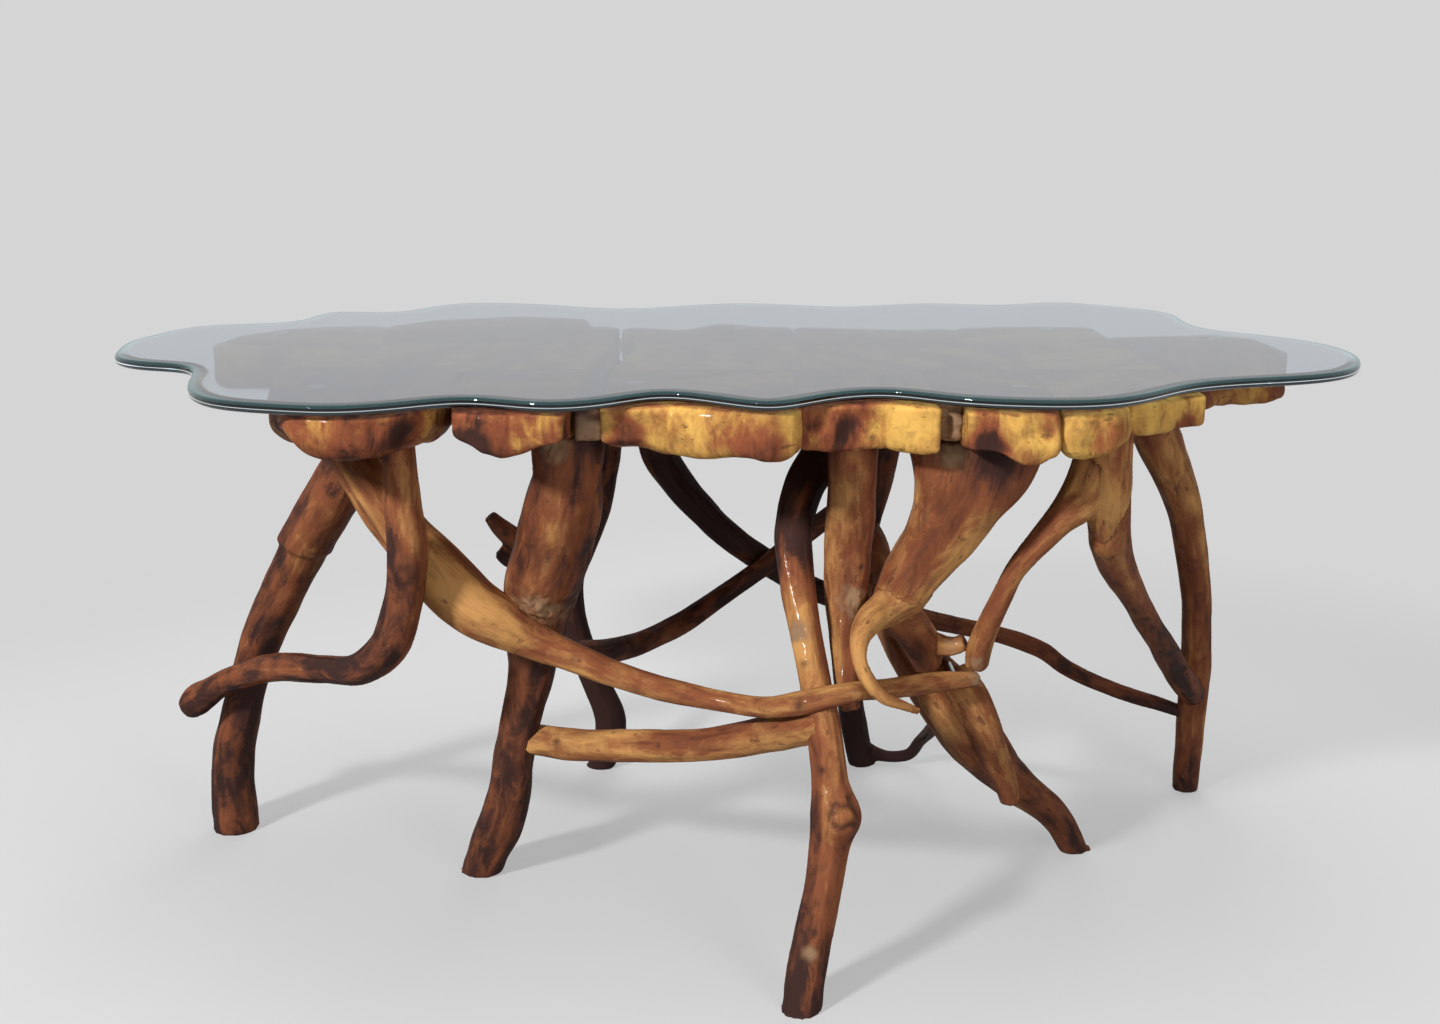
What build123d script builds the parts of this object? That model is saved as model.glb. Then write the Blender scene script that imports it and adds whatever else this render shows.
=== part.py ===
from build123d import *
import os

# Rustic table: a free-form glass top that lies on a bed of sawn root slabs, which stand on
# crossing root limbs. Millimetres, +Z up, origin on the floor under the middle of the glass.

# ---- driving dimensions -------------------------------------------------------------------
TABLE_LENGTH = 1650.0
TABLE_WIDTH = 976.0
TABLE_HEIGHT = 760.0

GLASS_THICKNESS = 12.0
GLASS_EDGE_RADIUS = 4.0
PAD_DIAMETER = 20.0
PAD_THICKNESS = 3.0
GLASS_REST_GAP = 0.3

SLAB_SEAM = 3.0
SLAB_TOP_EASE = 2.0

LIMB_GIRTH = 1.0
LIMB_SEAT_GAP = 0.3
TENON_LENGTH = 28.0
TENON_FIT = 0.15

SLAB_DOWEL_DIAMETER = 16.0
SLAB_DOWEL_LENGTH = 76.0
SLAB_DOWEL_DEPTH = 21.0
LIMB_DOWEL_DIAMETER = 10.0
LIMB_DOWEL_LENGTH = 34.0
DOWEL_FIT = 0.15

SCREW_SHANK_DIAMETER = 6.0
SCREW_HEAD_DIAMETER = 11.0
SCREW_HEAD_HEIGHT = 4.0
SCREW_BITE = 16.0
PLUG_DIAMETER = 14.0
PLUG_DEPTH = 6.0

# The plan and the limbs are set out on a full-size drawing of these dimensions, whose glass
# outline has this middle.
DRAWN_LENGTH = 1650.0
DRAWN_WIDTH = 976.0
DRAWN_HEIGHT = 760.0
DRAWN_MIDDLE_X = 1.0
DRAWN_MIDDLE_Y = 15.0

GLASS_UNDERSIDE = TABLE_HEIGHT - GLASS_THICKNESS
SLAB_TOP = GLASS_UNDERSIDE - GLASS_REST_GAP - PAD_THICKNESS
FAR = 2 * (TABLE_LENGTH + TABLE_WIDTH + TABLE_HEIGHT)


def at(x, y, z=0.0):
    """Carry a point of the full-size drawing to the table's present length, width and height."""
    return Vector(
        (x - DRAWN_MIDDLE_X) * TABLE_LENGTH / DRAWN_LENGTH,
        (y - DRAWN_MIDDLE_Y) * TABLE_WIDTH / DRAWN_WIDTH,
        z * TABLE_HEIGHT / DRAWN_HEIGHT,
    )


def largest(shape):
    """The main solid of a cut shape."""
    return max(shape.solids(), key=lambda solid: solid.volume)


def round_bar(start, direction, length, diameter):
    """A round bar from a start point along a direction."""
    plane = Plane(origin=start, z_dir=direction)
    return extrude(plane * Circle(diameter / 2), amount=length).solid()


# ---- glass top ----------------------------------------------------------------------------
GLASS_OUTLINE = [
    (825, -60), (808, 35), (752, 112), (705, 165), (692, 270), (684, 385), (636, 440),
    (545, 504), (440, 470), (335, 490), (250, 463), (188, 446), (118, 464), (36, 490),
    (-50, 468), (-135, 426), (-195, 424), (-268, 461), (-338, 490), (-434, 489), (-482, 430),
    (-525, 375), (-570, 374), (-612, 374), (-638, 310), (-660, 252), (-712, 228), (-770, 205),
    (-812, 118), (-825, 40), (-815, -40), (-795, -104), (-748, -150), (-690, -176), (-664, -212),
    (-648, -268), (-622, -360), (-572, -430), (-500, -462), (-432, -474), (-360, -447),
    (-300, -419), (-205, -450), (-150, -434), (-75, -380), (-10, -413), (45, -444), (102, -402),
    (178, -366), (250, -408), (330, -436), (415, -432), (480, -388), (545, -324), (612, -290),
    (700, -262), (762, -222), (806, -150),
]


def glass_top():
    outline = Spline(*[at(x, y) for x, y in GLASS_OUTLINE], periodic=True)
    plate = extrude(Pos(0, 0, GLASS_UNDERSIDE) * make_face(outline), amount=GLASS_THICKNESS)
    rims = plate.faces().filter_by(Axis.Z).edges()
    return fillet(rims, GLASS_EDGE_RADIUS).solid()


# Clear pads between the slabs and the glass, by their places in plan.
GLASS_PADS = [
    (-640, 140), (-480, -330), (-350, 300), (-110, -300), (20, 190), (340, -330),
    (470, 180), (690, 90),
]


def glass_pads():
    pads = []
    for x, y in GLASS_PADS:
        place = at(x, y)
        place.Z = SLAB_TOP
        pads.append(round_bar(place, Vector(0, 0, 1), PAD_THICKNESS, PAD_DIAMETER))
    return Compound(pads)


# ---- root slabs ---------------------------------------------------------------------------
# Each slab: thickness, corner radius, belly radius, then its sawn outline in plan. Neighbours
# share their seam line, and each is cut back from it by half the seam.
SLABS = {
    "front_left_slab": (52, 30, 28, [
        (-345, -440), (-424, -466), (-485, -452), (-528, -360), (-556, -250), (-562, -158),
        (-440, -166), (-330, -172), (-328, -350)]),
    "front_lobe_slab": (50, 9, 8, [
        (-306, -424), (-322, -340), (-330, -172), (-175, -176), (-172, -300), (-186, -442),
        (-244, -434), (-272, -438)]),
    "front_filler_block": (40, 5, 3, [
        (-175, -396), (-175, -176), (-146, -176), (-146, -396)]),
    "front_middle_slab": (57, 12, 12, [
        (-146, -399), (-146, -176), (81, -180), (81, -398), (70, -424), (38, -437), (-12, -408),
        (-70, -386), (-110, -402)]),
    "front_right_slab": (54, 6, 5, [
        (81, -398), (81, -180), (184, -180), (184, -300), (214, -300), (214, -180), (240, -180),
        (240, -400), (220, -396), (182, -368), (122, -384)]),
    "bark_filler_block": (42, 5, 3, [
        (240, -382), (240, -180), (268, -180), (268, -382)]),
    "front_ridge_slab": (60, 7, 6, [
        (268, -424), (268, -180), (371, -180), (371, -400), (360, -434), (318, -432)]),
    "front_round_slab": (58, 14, 13, [
        (378, -428), (371, -180), (482, -180), (482, -300), (453, -384), (430, -410)]),
    "front_right_end_slab": (41, 8, 7, [
        (453, -384), (482, -300), (482, -180), (556, -180), (566, -304), (540, -324)]),
    "right_end_slab": (54, 12, 11, [
        (556, -180), (544, -110), (546, 0), (544, 118), (635, 129), (700, 140), (748, 100),
        (752, -30), (722, -62), (667, -72), (612, -135)]),
    "left_end_slab": (61, 26, 20, [
        (-712, 16), (-625, 2), (-550, 4), (-487, -72), (-478, 52), (-505, 240), (-590, 232),
        (-650, 205), (-700, 132)]),
    "middle_left_slab": (52, 10, 8, [
        (-487, -72), (-440, -166), (-330, -172), (-175, -176), (-168, -84), (-162, 50),
        (-478, 52)]),
    "back_left_slab": (55, 18, 12, [
        (-478, 52), (-162, 50), (-163, 139), (-158, 225), (-202, 232), (-216, 325), (-323, 356),
        (-448, 308), (-505, 240)]),
    "centre_slab": (52, 9, 7, [
        (-146, -176), (92, -180), (96, 36), (-124, 40), (-135, -84)]),
    "back_centre_slab": (54, 18, 12, [
        (-124, 40), (96, 36), (98, 228), (52, 230), (-8, 276), (-62, 196), (-156, 225),
        (-148, 139)]),
    "middle_right_slab": (52, 9, 7, [
        (92, -180), (384, -180), (384, 10), (96, 18)]),
    "inner_right_slab": (50, 9, 7, [
        (384, -180), (556, -180), (544, -110), (546, 0), (384, 10)]),
    "back_right_slab": (56, 18, 12, [
        (96, 18), (334, 12), (338, 212), (258, 195), (98, 228)]),
    "back_right_end_slab": (54, 18, 12, [
        (334, 12), (384, 10), (546, 0), (544, 118), (543, 228), (405, 230), (338, 212)]),
}

# Hidden dowels that tie neighbouring slabs: the slabs bored, the place on the seam and the
# direction across it. A thin block is strung on one dowel between its neighbours.
SLAB_DOWELS = [
    (("front_left_slab", "front_lobe_slab"), (-329, -250), (1, 0)),
    (("front_lobe_slab", "front_filler_block", "front_middle_slab"), (-160, -250), (1, 0)),
    (("front_middle_slab", "front_right_slab"), (81, -260), (1, 0)),
    (("front_right_slab", "bark_filler_block", "front_ridge_slab"), (254, -230), (1, 0)),
    (("front_ridge_slab", "front_round_slab"), (371, -230), (1, 0)),
    (("front_round_slab", "front_right_end_slab"), (482, -230), (1, 0)),
    (("front_right_end_slab", "inner_right_slab"), (520, -180), (0, 1)),
    (("inner_right_slab", "right_end_slab"), (545, -50), (1, 0)),
    (("left_end_slab", "middle_left_slab"), (-482, 0), (1, 0)),
    (("left_end_slab", "back_left_slab"), (-490, 150), (1, 0)),
    (("middle_left_slab", "front_left_slab"), (-380, -169), (0, 1)),
    (("middle_left_slab", "front_lobe_slab"), (-250, -174), (0, 1)),
    (("middle_left_slab", "back_left_slab"), (-320, 51), (0, 1)),
    (("centre_slab", "front_middle_slab"), (-20, -178), (0, 1)),
    (("centre_slab", "back_centre_slab"), (-10, 38), (0, 1)),
    (("centre_slab", "middle_right_slab"), (94, -80), (1, 0)),
    (("middle_right_slab", "front_ridge_slab"), (340, -180), (0, 1)),
    (("middle_right_slab", "inner_right_slab"), (384, -80), (1, 0)),
    (("middle_right_slab", "back_right_slab"), (170, 16), (0, 1)),
    (("back_centre_slab", "back_right_slab"), (97, 140), (1, 0)),
    (("back_left_slab", "back_centre_slab"), (-155, 196), (1, 0)),
    (("back_right_slab", "back_right_end_slab"), (336, 110), (1, 0)),
    (("back_right_end_slab", "right_end_slab"), (544, 70), (1, 0)),
]


def slab_underside(name):
    return SLAB_TOP - SLABS[name][0]


def slab(name):
    thickness, corner, belly, outline = SLABS[name]
    plan = make_face(Polyline(*[at(x, y) for x, y in outline], close=True))
    plan = offset(plan, amount=-SLAB_SEAM / 2, kind=Kind.INTERSECTION)
    plan = fillet(plan.vertices(), corner)
    block = extrude(Pos(0, 0, SLAB_TOP - thickness) * plan, amount=thickness)
    underside, top = block.faces().filter_by(Axis.Z).sort_by(Axis.Z)
    block = fillet(underside.edges(), belly)
    top = block.faces().sort_by(Axis.Z)[-1]
    return chamfer(top.edges(), SLAB_TOP_EASE).solid()


def slab_dowel(place, across, slack=0.0):
    """One dowel centred on a seam; with slack it is the bore that takes it."""
    direction = Vector(across[0], across[1], 0)
    length = SLAB_DOWEL_LENGTH + 2 * slack
    middle = at(*place)
    middle.Z = SLAB_TOP - SLAB_DOWEL_DEPTH
    start = middle - direction * (length / 2)
    return round_bar(start, direction, length, SLAB_DOWEL_DIAMETER + 2 * slack)


# ---- root limbs ---------------------------------------------------------------------------
# Stations of each limb from its lower or outer end: x, y, z of the heart, then the width seen
# from the front and, where it differs, the depth from front to back.
LIMBS = {
    "left_leg": [
        (-752, 120, -20, 70), (-748, 108, 70, 62), (-738, 92, 140, 58), (-718, 75, 206, 56),
        (-694, 58, 274, 56), (-668, 42, 336, 58), (-634, 20, 400, 61), (-595, -5, 468, 64),
        (-572, -22, 506, 68), (-548, -42, 542, 76), (-513, -72, 594, 72), (-472, -104, 650, 66),
        (-432, -128, 715, 66)],
    "elbow_brace": [
        (-786, 48, 220, 36), (-772, 42, 234, 45), (-752, 30, 249, 40), (-732, 15, 265, 36), (-667, -36, 304, 38),
        (-589, -120, 340, 38), (-527, -182, 358, 36), (-466, -240, 381, 43), (-422, -274, 426, 51),
        (-398, -294, 487, 50), (-388, -310, 554, 51), (-390, -320, 619, 44), (-392, -322, 715, 36)],
    "front_left_leg": [
        (-362, -26, -20, 52), (-345, -36, 30, 62), (-327, -50, 75, 65), (-308, -72, 130, 61),
        (-296, -90, 205, 57), (-280, -108, 270, 55), (-265, -128, 335, 62), (-256, -150, 385, 72),
        (-248, -172, 432, 84), (-238, -198, 480, 96), (-220, -232, 535, 100), (-204, -272, 595, 96),
        (-192, -312, 655, 86), (-186, -326, 715, 88)],
    "back_left_leg": [
        (-216, 370, -20, 42), (-197, 352, 45, 47), (-192, 338, 95, 49), (-208, 325, 150, 46),
        (-228, 312, 212, 44), (-246, 300, 282, 43), (-252, 288, 350, 52), (-234, 275, 414, 63),
        (-212, 260, 481, 68), (-198, 238, 555, 74), (-192, 202, 640, 72), (-190, 174, 715, 72)],
    "front_centre_leg": [
        (88, -416, -20, 50), (103, -400, 88, 47), (117, -390, 165, 44), (124, -376, 210, 48),
        (127, -372, 236, 54), (124, -362, 272, 46), (119, -348, 320, 44), (109, -318, 379, 41),
        (97, -285, 439, 41), (86, -250, 500, 46), (83, -218, 556, 50), (97, -190, 606, 54),
        (126, -160, 650, 58), (142, -142, 715, 58)],
    "centre_brace": [
        (150, -309, 350, 26), (147, -304, 376, 30), (147, -285, 408, 35), (148, -250, 444, 44),
        (149, -236, 491, 56), (151, -242, 545, 60), (150, -272, 608, 60), (149, -296, 664, 60),
        (148, -314, 715, 60)],
    "back_right_leg": [
        (232, 378, -20, 42), (218, 365, 45, 43), (204, 336, 118, 43), (198, 300, 208, 45),
        (197, 260, 320, 47), (202, 225, 419, 52), (210, 190, 498, 60), (218, 152, 576, 72),
        (226, 130, 650, 74), (228, 126, 715, 74)],
    "hook_trunk": [
        (264, -166, 362, 40), (254, -182, 388, 47), (234, -208, 425, 52), (210, -232, 462, 62),
        (224, -246, 496, 72, 66), (255, -270, 552, 84, 72), (278, -294, 613, 110, 84),
        (288, -308, 654, 146, 96), (296, -308, 715, 184, 104)],
    "right_centre_leg": [
        (528, 48, -20, 38), (475, 6, 72, 44), (423, -40, 128, 51), (367, -84, 192, 68),
        (326, -118, 250, 79), (299, -138, 298, 83), (263, -110, 340, 68), (236, -40, 372, 56),
        (226, 60, 404, 49), (216, 150, 442, 44), (208, 196, 458, 40)],
    "forked_brace": [
        (466, -262, 575, 48), (465, -262, 615, 58), (462, -262, 655, 66), (458, -262, 715, 68)],
    "right_leg": [
        (745, 274, -20, 40), (740, 254, 45, 41), (731, 222, 133, 43), (729, 205, 207, 45),
        (721, 185, 284, 44), (711, 165, 352, 45), (692, 140, 426, 47), (668, 110, 499, 50),
        (639, 80, 561, 57), (606, 48, 620, 62), (582, 26, 672, 64), (578, 22, 715, 64)],
    "front_stretcher": [
        (-512, -196, 715, 56), (-490, -202, 676, 56), (-459, -214, 628, 58), (-406, -228, 552, 65),
        (-367, -232, 507, 76), (-327, -232, 463, 76), (-284, -228, 434, 64), (-240, -226, 408, 46),
        (-188, -236, 390, 38), (-137, -250, 373, 34), (-80, -265, 361, 32), (-10, -285, 352, 26),
        (42, -310, 353, 27), (85, -336, 367, 31), (123, -345, 379, 29), (155, -332, 381, 26),
        (195, -302, 374, 26), (237, -256, 363, 27), (280, -222, 356, 26), (326, -202, 352, 18)],
    "low_stretcher": [
        (-268, -100, 228, 42), (-200, -130, 232, 43), (-144, -158, 242, 44), (-83, -190, 255, 44),
        (-30, -220, 269, 43), (16, -250, 288, 46), (59, -288, 312, 46), (118, -346, 344, 44)],
    "back_stretcher": [
        (200, 264, 320, 33), (258, 266, 308, 31), (312, 264, 289, 30), (371, 258, 277, 27),
        (423, 252, 267, 26), (468, 248, 254, 28), (498, 244, 242, 28), (528, 240, 220, 26),
        (603, 230, 186, 24), (678, 222, 163, 22), (728, 216, 146, 19)],
    "rising_brace": [
        (-262, -132, 366, 32), (-239, -95, 353, 33), (-207, -20, 328, 34), (-163, 70, 302, 35),
        (-129, 115, 297, 34), (-70, 150, 316, 33), (-10, 175, 351, 30), (58, 192, 396, 30),
        (112, 200, 437, 30), (179, 200, 488, 30), (206, 198, 506, 30)],
    "falling_brace": [
        (202, 258, 318, 32), (175, 252, 326, 34), (114, 238, 356, 37), (64, 226, 391, 40),
        (13, 213, 430, 43), (-40, 200, 484, 45), (-76, 184, 530, 49), (-100, 164, 576, 54),
        (-108, 152, 640, 54), (-108, 150, 715, 54)],
}

# Lesser branches that grow out of a limb, in the same form, from inside the limb outwards.
BRANCHES = {
    "back_left_leg": [
        [(-228, 270, 425, 48), (-262, 262, 398, 46), (-303, 250, 402, 44), (-332, 243, 428, 34),
         (-352, 238, 448, 26), (-364, 235, 463, 20)],
        [(-290, 254, 400, 40), (-318, 246, 392, 40), (-340, 240, 398, 34), (-352, 238, 406, 22)]],
    "back_right_leg": [
        [(214, 362, 52, 34), (230, 374, 28, 30), (267, 372, 14, 20), (300, 360, 20, 20),
         (318, 325, 58, 20), (326, 220, 122, 22), (322, 100, 194, 21), (316, -20, 250, 21),
         (312, -84, 276, 21)]],
    "hook_trunk": [
        [(226, -244, 484, 60), (201, -256, 468, 48), (172, -292, 458, 34), (159, -323, 443, 23),
         (159, -341, 424, 18), (169, -350, 402, 18), (189, -348, 379, 16), (212, -338, 366, 12),
         (234, -325, 353, 9)],
        [(246, -190, 404, 40), (268, -188, 396, 32), (290, -194, 394, 26), (308, -200, 402, 22)]],
    "right_centre_leg": [
        [(300, -134, 330, 56), (318, -150, 308, 54), (337, -150, 274, 46), (357, -128, 224, 37),
         (376, -106, 180, 30), (388, -90, 142, 25)]],
    "forked_brace": [
        [(466, -262, 630, 52), (456, -262, 606, 46), (431, -262, 588, 37), (404, -262, 566, 32),
         (376, -255, 531, 26), (350, -243, 484, 25), (331, -228, 434, 28), (323, -212, 396, 32),
         (322, -204, 370, 29)],
        [(464, -264, 632, 54), (470, -254, 600, 52), (482, -220, 550, 50), (502, -170, 504, 48),
         (543, -100, 442, 39), (590, -20, 372, 38), (639, 60, 304, 39), (683, 130, 240, 41),
         (722, 190, 190, 40)]],
}

# Where a limb stands under a slab: the slab, the tenon's place in plan and its diameter.
TOP_SEATS = {
    "left_leg": ("middle_left_slab", (-425, -122), 30),
    "elbow_brace": ("front_left_slab", (-392, -322), 18),
    "front_left_leg": ("front_lobe_slab", (-208, -326), 36),
    "back_left_leg": ("back_left_slab", (-206, 168), 28),
    "front_centre_leg": ("middle_right_slab", (142, -144), 26),
    "centre_brace": ("front_right_slab", (148, -307), 26),
    "back_right_leg": ("back_right_slab", (228, 126), 34),
    "hook_trunk": ("front_ridge_slab", (328, -300), 36),
    "forked_brace": ("front_round_slab", (452, -262), 30),
    "right_leg": ("right_end_slab", (588, 22), 26),
    "front_stretcher": ("front_left_slab", (-508, -197), 26),
    "falling_brace": ("back_centre_slab", (-106, 150), 20),
}

# Which limb is hollowed out or cut off to seat against which other one.
LIMB_SEATS = [
    ("left_leg", "elbow_brace"),
    ("front_left_leg", "front_stretcher"),
    ("front_centre_leg", "front_stretcher"),
    ("centre_brace", "front_stretcher"),
    ("centre_brace", "hook_trunk"),
    ("right_centre_leg", "front_stretcher"),
    ("low_stretcher", "front_left_leg"),
    ("low_stretcher", "front_centre_leg"),
    ("low_stretcher", "front_stretcher"),
    ("rising_brace", "front_left_leg"),
    ("rising_brace", "back_right_leg"),
    ("falling_brace", "rising_brace"),
    ("falling_brace", "back_right_leg"),
    ("back_stretcher", "back_right_leg"),
    ("back_stretcher", "right_leg"),
    ("right_centre_leg", "back_right_leg"),
    ("hook_trunk", "right_centre_leg"),
    ("hook_trunk", "front_stretcher"),
    ("forked_brace", "front_stretcher"),
    ("forked_brace", "right_centre_leg"),
    ("forked_brace", "right_leg"),
    ("forked_brace", "hook_trunk"),
]

# Blind dowels in the butted ends: the butted limb, the limb it meets, the place of the joint
# and the direction of the dowel.
LIMB_DOWELS = [
    ("low_stretcher", "front_left_leg", (-252, -107, 230), (-0.9, 0.4, 0)),
    ("low_stretcher", "front_centre_leg", (101, -330, 335), (0.65, -0.65, 0.4)),
    ("rising_brace", "front_left_leg", (-243, -104, 356), (-0.35, -0.85, 0.35)),
    ("rising_brace", "back_right_leg", (184, 200, 491), (1, 0, 0.3)),
    ("falling_brace", "back_right_leg", (177, 253, 326), (1, 0.1, -0.2)),
    ("back_stretcher", "back_right_leg", (219, 265, 316), (-1, 0, 0.1)),
    ("back_stretcher", "right_leg", (712, 218, 152), (1, -0.1, -0.2)),
    ("right_centre_leg", "back_right_leg", (213, 176, 450), (-0.1, 0.95, 0.3)),
    ("forked_brace", "right_leg", (706, 170, 212), (0.5, 0.6, -0.5)),
]

# Screws under wooden plugs: the limb that is bored through, the limb it draws up, a place in
# front of the bored limb and the direction of the screw.
LIMB_SCREWS = [
    ("front_stretcher", "centre_brace", (150, -400, 381), (0, 1, 0)),
    ("front_centre_leg", "front_stretcher", (104, -240, 382), (0.1, -1, 0)),
    ("left_leg", "elbow_brace", (-690, 140, 296), (0, -1, 0)),
    ("right_centre_leg", "front_stretcher", (296, 0, 346), (0, -1, 0.04)),
    ("falling_brace", "rising_brace", (58, 300, 394), (0, -1, 0)),
]


def loft_limb(stations, grow=0.0):
    """Loft an oval bar through its stations, two spans at a time; grow thickens it."""
    hearts = [at(*station[:3]) for station in stations]
    sections = []
    for index, station in enumerate(stations):
        width = station[3] * LIMB_GIRTH
        depth = station[-1] * LIMB_GIRTH
        ahead = hearts[min(index + 1, len(hearts) - 1)]
        behind = hearts[max(index - 1, 0)]
        run = (ahead - behind).normalized()
        across = run.cross(Vector(0, 1, 0)).normalized()
        plane = Plane(origin=hearts[index], x_dir=across, z_dir=run)
        sections.append(plane * Ellipse(width / 2 + grow, depth / 2 + grow))
    first, *rest = [loft(sections[start:start + 3]) for start in range(0, len(sections) - 1, 2)]
    return first.fuse(*rest) if rest else first


def whole_limb(name, grow=0.0):
    """A limb with the branches that grow from it, before any joint is cut."""
    shape = loft_limb(LIMBS[name], grow)
    for stations in BRANCHES.get(name, []):
        shape = shape + loft_limb(stations, grow)
    return shape.solid()


def above(height):
    """All space over a level."""
    return Pos(0, 0, height + FAR / 2) * Box(FAR, FAR, FAR)


def tenon(name, slack=0.0):
    """The round tenon on a limb's top; with slack it is the mortise in the slab."""
    slab_name, place, diameter = TOP_SEATS[name]
    base = at(*place)
    base.Z = slab_underside(slab_name) - TENON_LENGTH
    return round_bar(base, Vector(0, 0, 1), 2 * TENON_LENGTH + slack, diameter + 2 * slack)


def unit(direction):
    return Vector(*direction).normalized()


def limb_dowel(place, direction, slack=0.0):
    length = LIMB_DOWEL_LENGTH + 2 * slack
    start = at(*place) - unit(direction) * (length / 2)
    return round_bar(start, unit(direction), length, LIMB_DOWEL_DIAMETER + 2 * slack)


def surface_point(shape, place, direction):
    """Where a line first enters a shape."""
    line = Edge.make_line(at(*place), at(*place) + unit(direction) * TABLE_WIDTH)
    hits = (line & shape).vertices()
    return min((Vector(*hit) for hit in hits), key=lambda hit: (hit - at(*place)).length)


def build():
    whole = {name: whole_limb(name) for name in LIMBS}
    limbs = dict(whole)
    for cut_name, seat_name in LIMB_SEATS:
        limbs[cut_name] = limbs[cut_name] - whole_limb(seat_name, LIMB_SEAT_GAP)
    for name in limbs:
        limbs[name] = largest(limbs[name] - Pos(0, 0, -FAR / 2) * Box(FAR, FAR, FAR))
    slabs = {name: slab(name) for name in SLABS}
    for name, (slab_name, place, diameter) in TOP_SEATS.items():
        limbs[name] = largest(limbs[name] - above(slab_underside(slab_name))) + tenon(name)
        slabs[slab_name] = slabs[slab_name] - tenon(name, TENON_FIT)

    parts = {}
    parts["slab_dowels"] = Compound([slab_dowel(place, across) for _, place, across in SLAB_DOWELS])
    for bored, place, across in SLAB_DOWELS:
        for name in bored:
            slabs[name] = slabs[name] - slab_dowel(place, across, DOWEL_FIT)

    parts["limb_dowels"] = Compound([limb_dowel(*dowel[2:]) for dowel in LIMB_DOWELS])
    for first, second, place, direction in LIMB_DOWELS:
        for name in (first, second):
            limbs[name] = limbs[name] - limb_dowel(place, direction, DOWEL_FIT)

    screws = []
    plugs = []
    for bored, drawn, place, direction in LIMB_SCREWS:
        entry = surface_point(whole[bored], place, direction)
        along = unit(direction)
        plug = round_bar(entry - along * PLUG_DEPTH, along, 2 * PLUG_DEPTH, PLUG_DIAMETER)
        plugs.append(largest(plug & whole[bored]))
        head_start = entry + along * PLUG_DEPTH
        head = round_bar(head_start, along, SCREW_HEAD_HEIGHT, SCREW_HEAD_DIAMETER)
        seat = surface_point(whole[drawn], place, direction)
        length = (seat - head_start).length + SCREW_BITE
        shank = round_bar(head_start, along, length, SCREW_SHANK_DIAMETER)
        screws.append((head + shank).solid())
        bore_length = PLUG_DEPTH + SCREW_HEAD_HEIGHT + DOWEL_FIT
        bore = round_bar(entry - along * PLUG_DEPTH, along, PLUG_DEPTH + bore_length,
                         PLUG_DIAMETER + 2 * DOWEL_FIT)
        pilot = round_bar(head_start, along, length + DOWEL_FIT,
                          SCREW_SHANK_DIAMETER + 2 * DOWEL_FIT)
        limbs[bored] = limbs[bored] - bore - pilot
        limbs[drawn] = limbs[drawn] - pilot
    parts["limb_screws"] = Compound(screws)
    parts["screw_plugs"] = Compound(plugs)

    parts.update({name: largest(shape) for name, shape in limbs.items()})
    parts.update({name: largest(shape) for name, shape in slabs.items()})
    parts["glass_pads"] = glass_pads()
    parts["glass_top"] = glass_top()
    return parts


os.makedirs("parts", exist_ok=True)
for node, shape in build().items():
    export_step(shape, f"parts/{node}.step")
    print(node, len(shape.solids()), round(shape.volume))
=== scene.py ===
from math import radians

import bmesh
import bpy
import numpy as np
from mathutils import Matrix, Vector


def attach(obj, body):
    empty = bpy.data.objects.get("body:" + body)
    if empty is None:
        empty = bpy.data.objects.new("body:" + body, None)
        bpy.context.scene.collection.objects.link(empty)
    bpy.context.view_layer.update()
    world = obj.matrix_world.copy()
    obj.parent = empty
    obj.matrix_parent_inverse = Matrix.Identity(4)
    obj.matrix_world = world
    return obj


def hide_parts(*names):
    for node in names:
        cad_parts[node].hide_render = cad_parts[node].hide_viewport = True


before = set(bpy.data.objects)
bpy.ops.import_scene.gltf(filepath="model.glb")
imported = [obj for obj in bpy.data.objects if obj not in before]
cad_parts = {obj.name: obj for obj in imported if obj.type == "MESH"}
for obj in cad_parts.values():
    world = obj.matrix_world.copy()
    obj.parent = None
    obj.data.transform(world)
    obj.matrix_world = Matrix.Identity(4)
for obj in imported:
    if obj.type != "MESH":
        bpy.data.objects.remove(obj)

bl_info = {
    "name": "Root Table",
    "version": (1, 0, 0),
    "blender": (4, 5, 0),
    "location": "View3D > Sidebar > Root Table",
    "description": "Dresses a rustic root table with carved limbs, polished slabs and a glass top",
    "category": "Object",
}

BODY = "base"
GLASS_BODY = "glass"
MM = 0.001
# The middle of the glass outline on the full-size drawing that the limbs are set out on.
DRAWN_MIDDLE = np.array([1.0, 15.0, 0.0])


def at(*points):
    """Points of the full-size drawing in millimetres, as an array of places in metres."""
    return (np.array(points, float).reshape(-1, 3) - DRAWN_MIDDLE) * MM


# ---- settings -----------------------------------------------------------------------------
COLOUR_SETTING = {"subtype": "COLOR", "size": 3, "min": 0.0, "max": 1.0}
LENGTH_SETTING = {"subtype": "DISTANCE", "unit": "LENGTH"}


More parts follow.
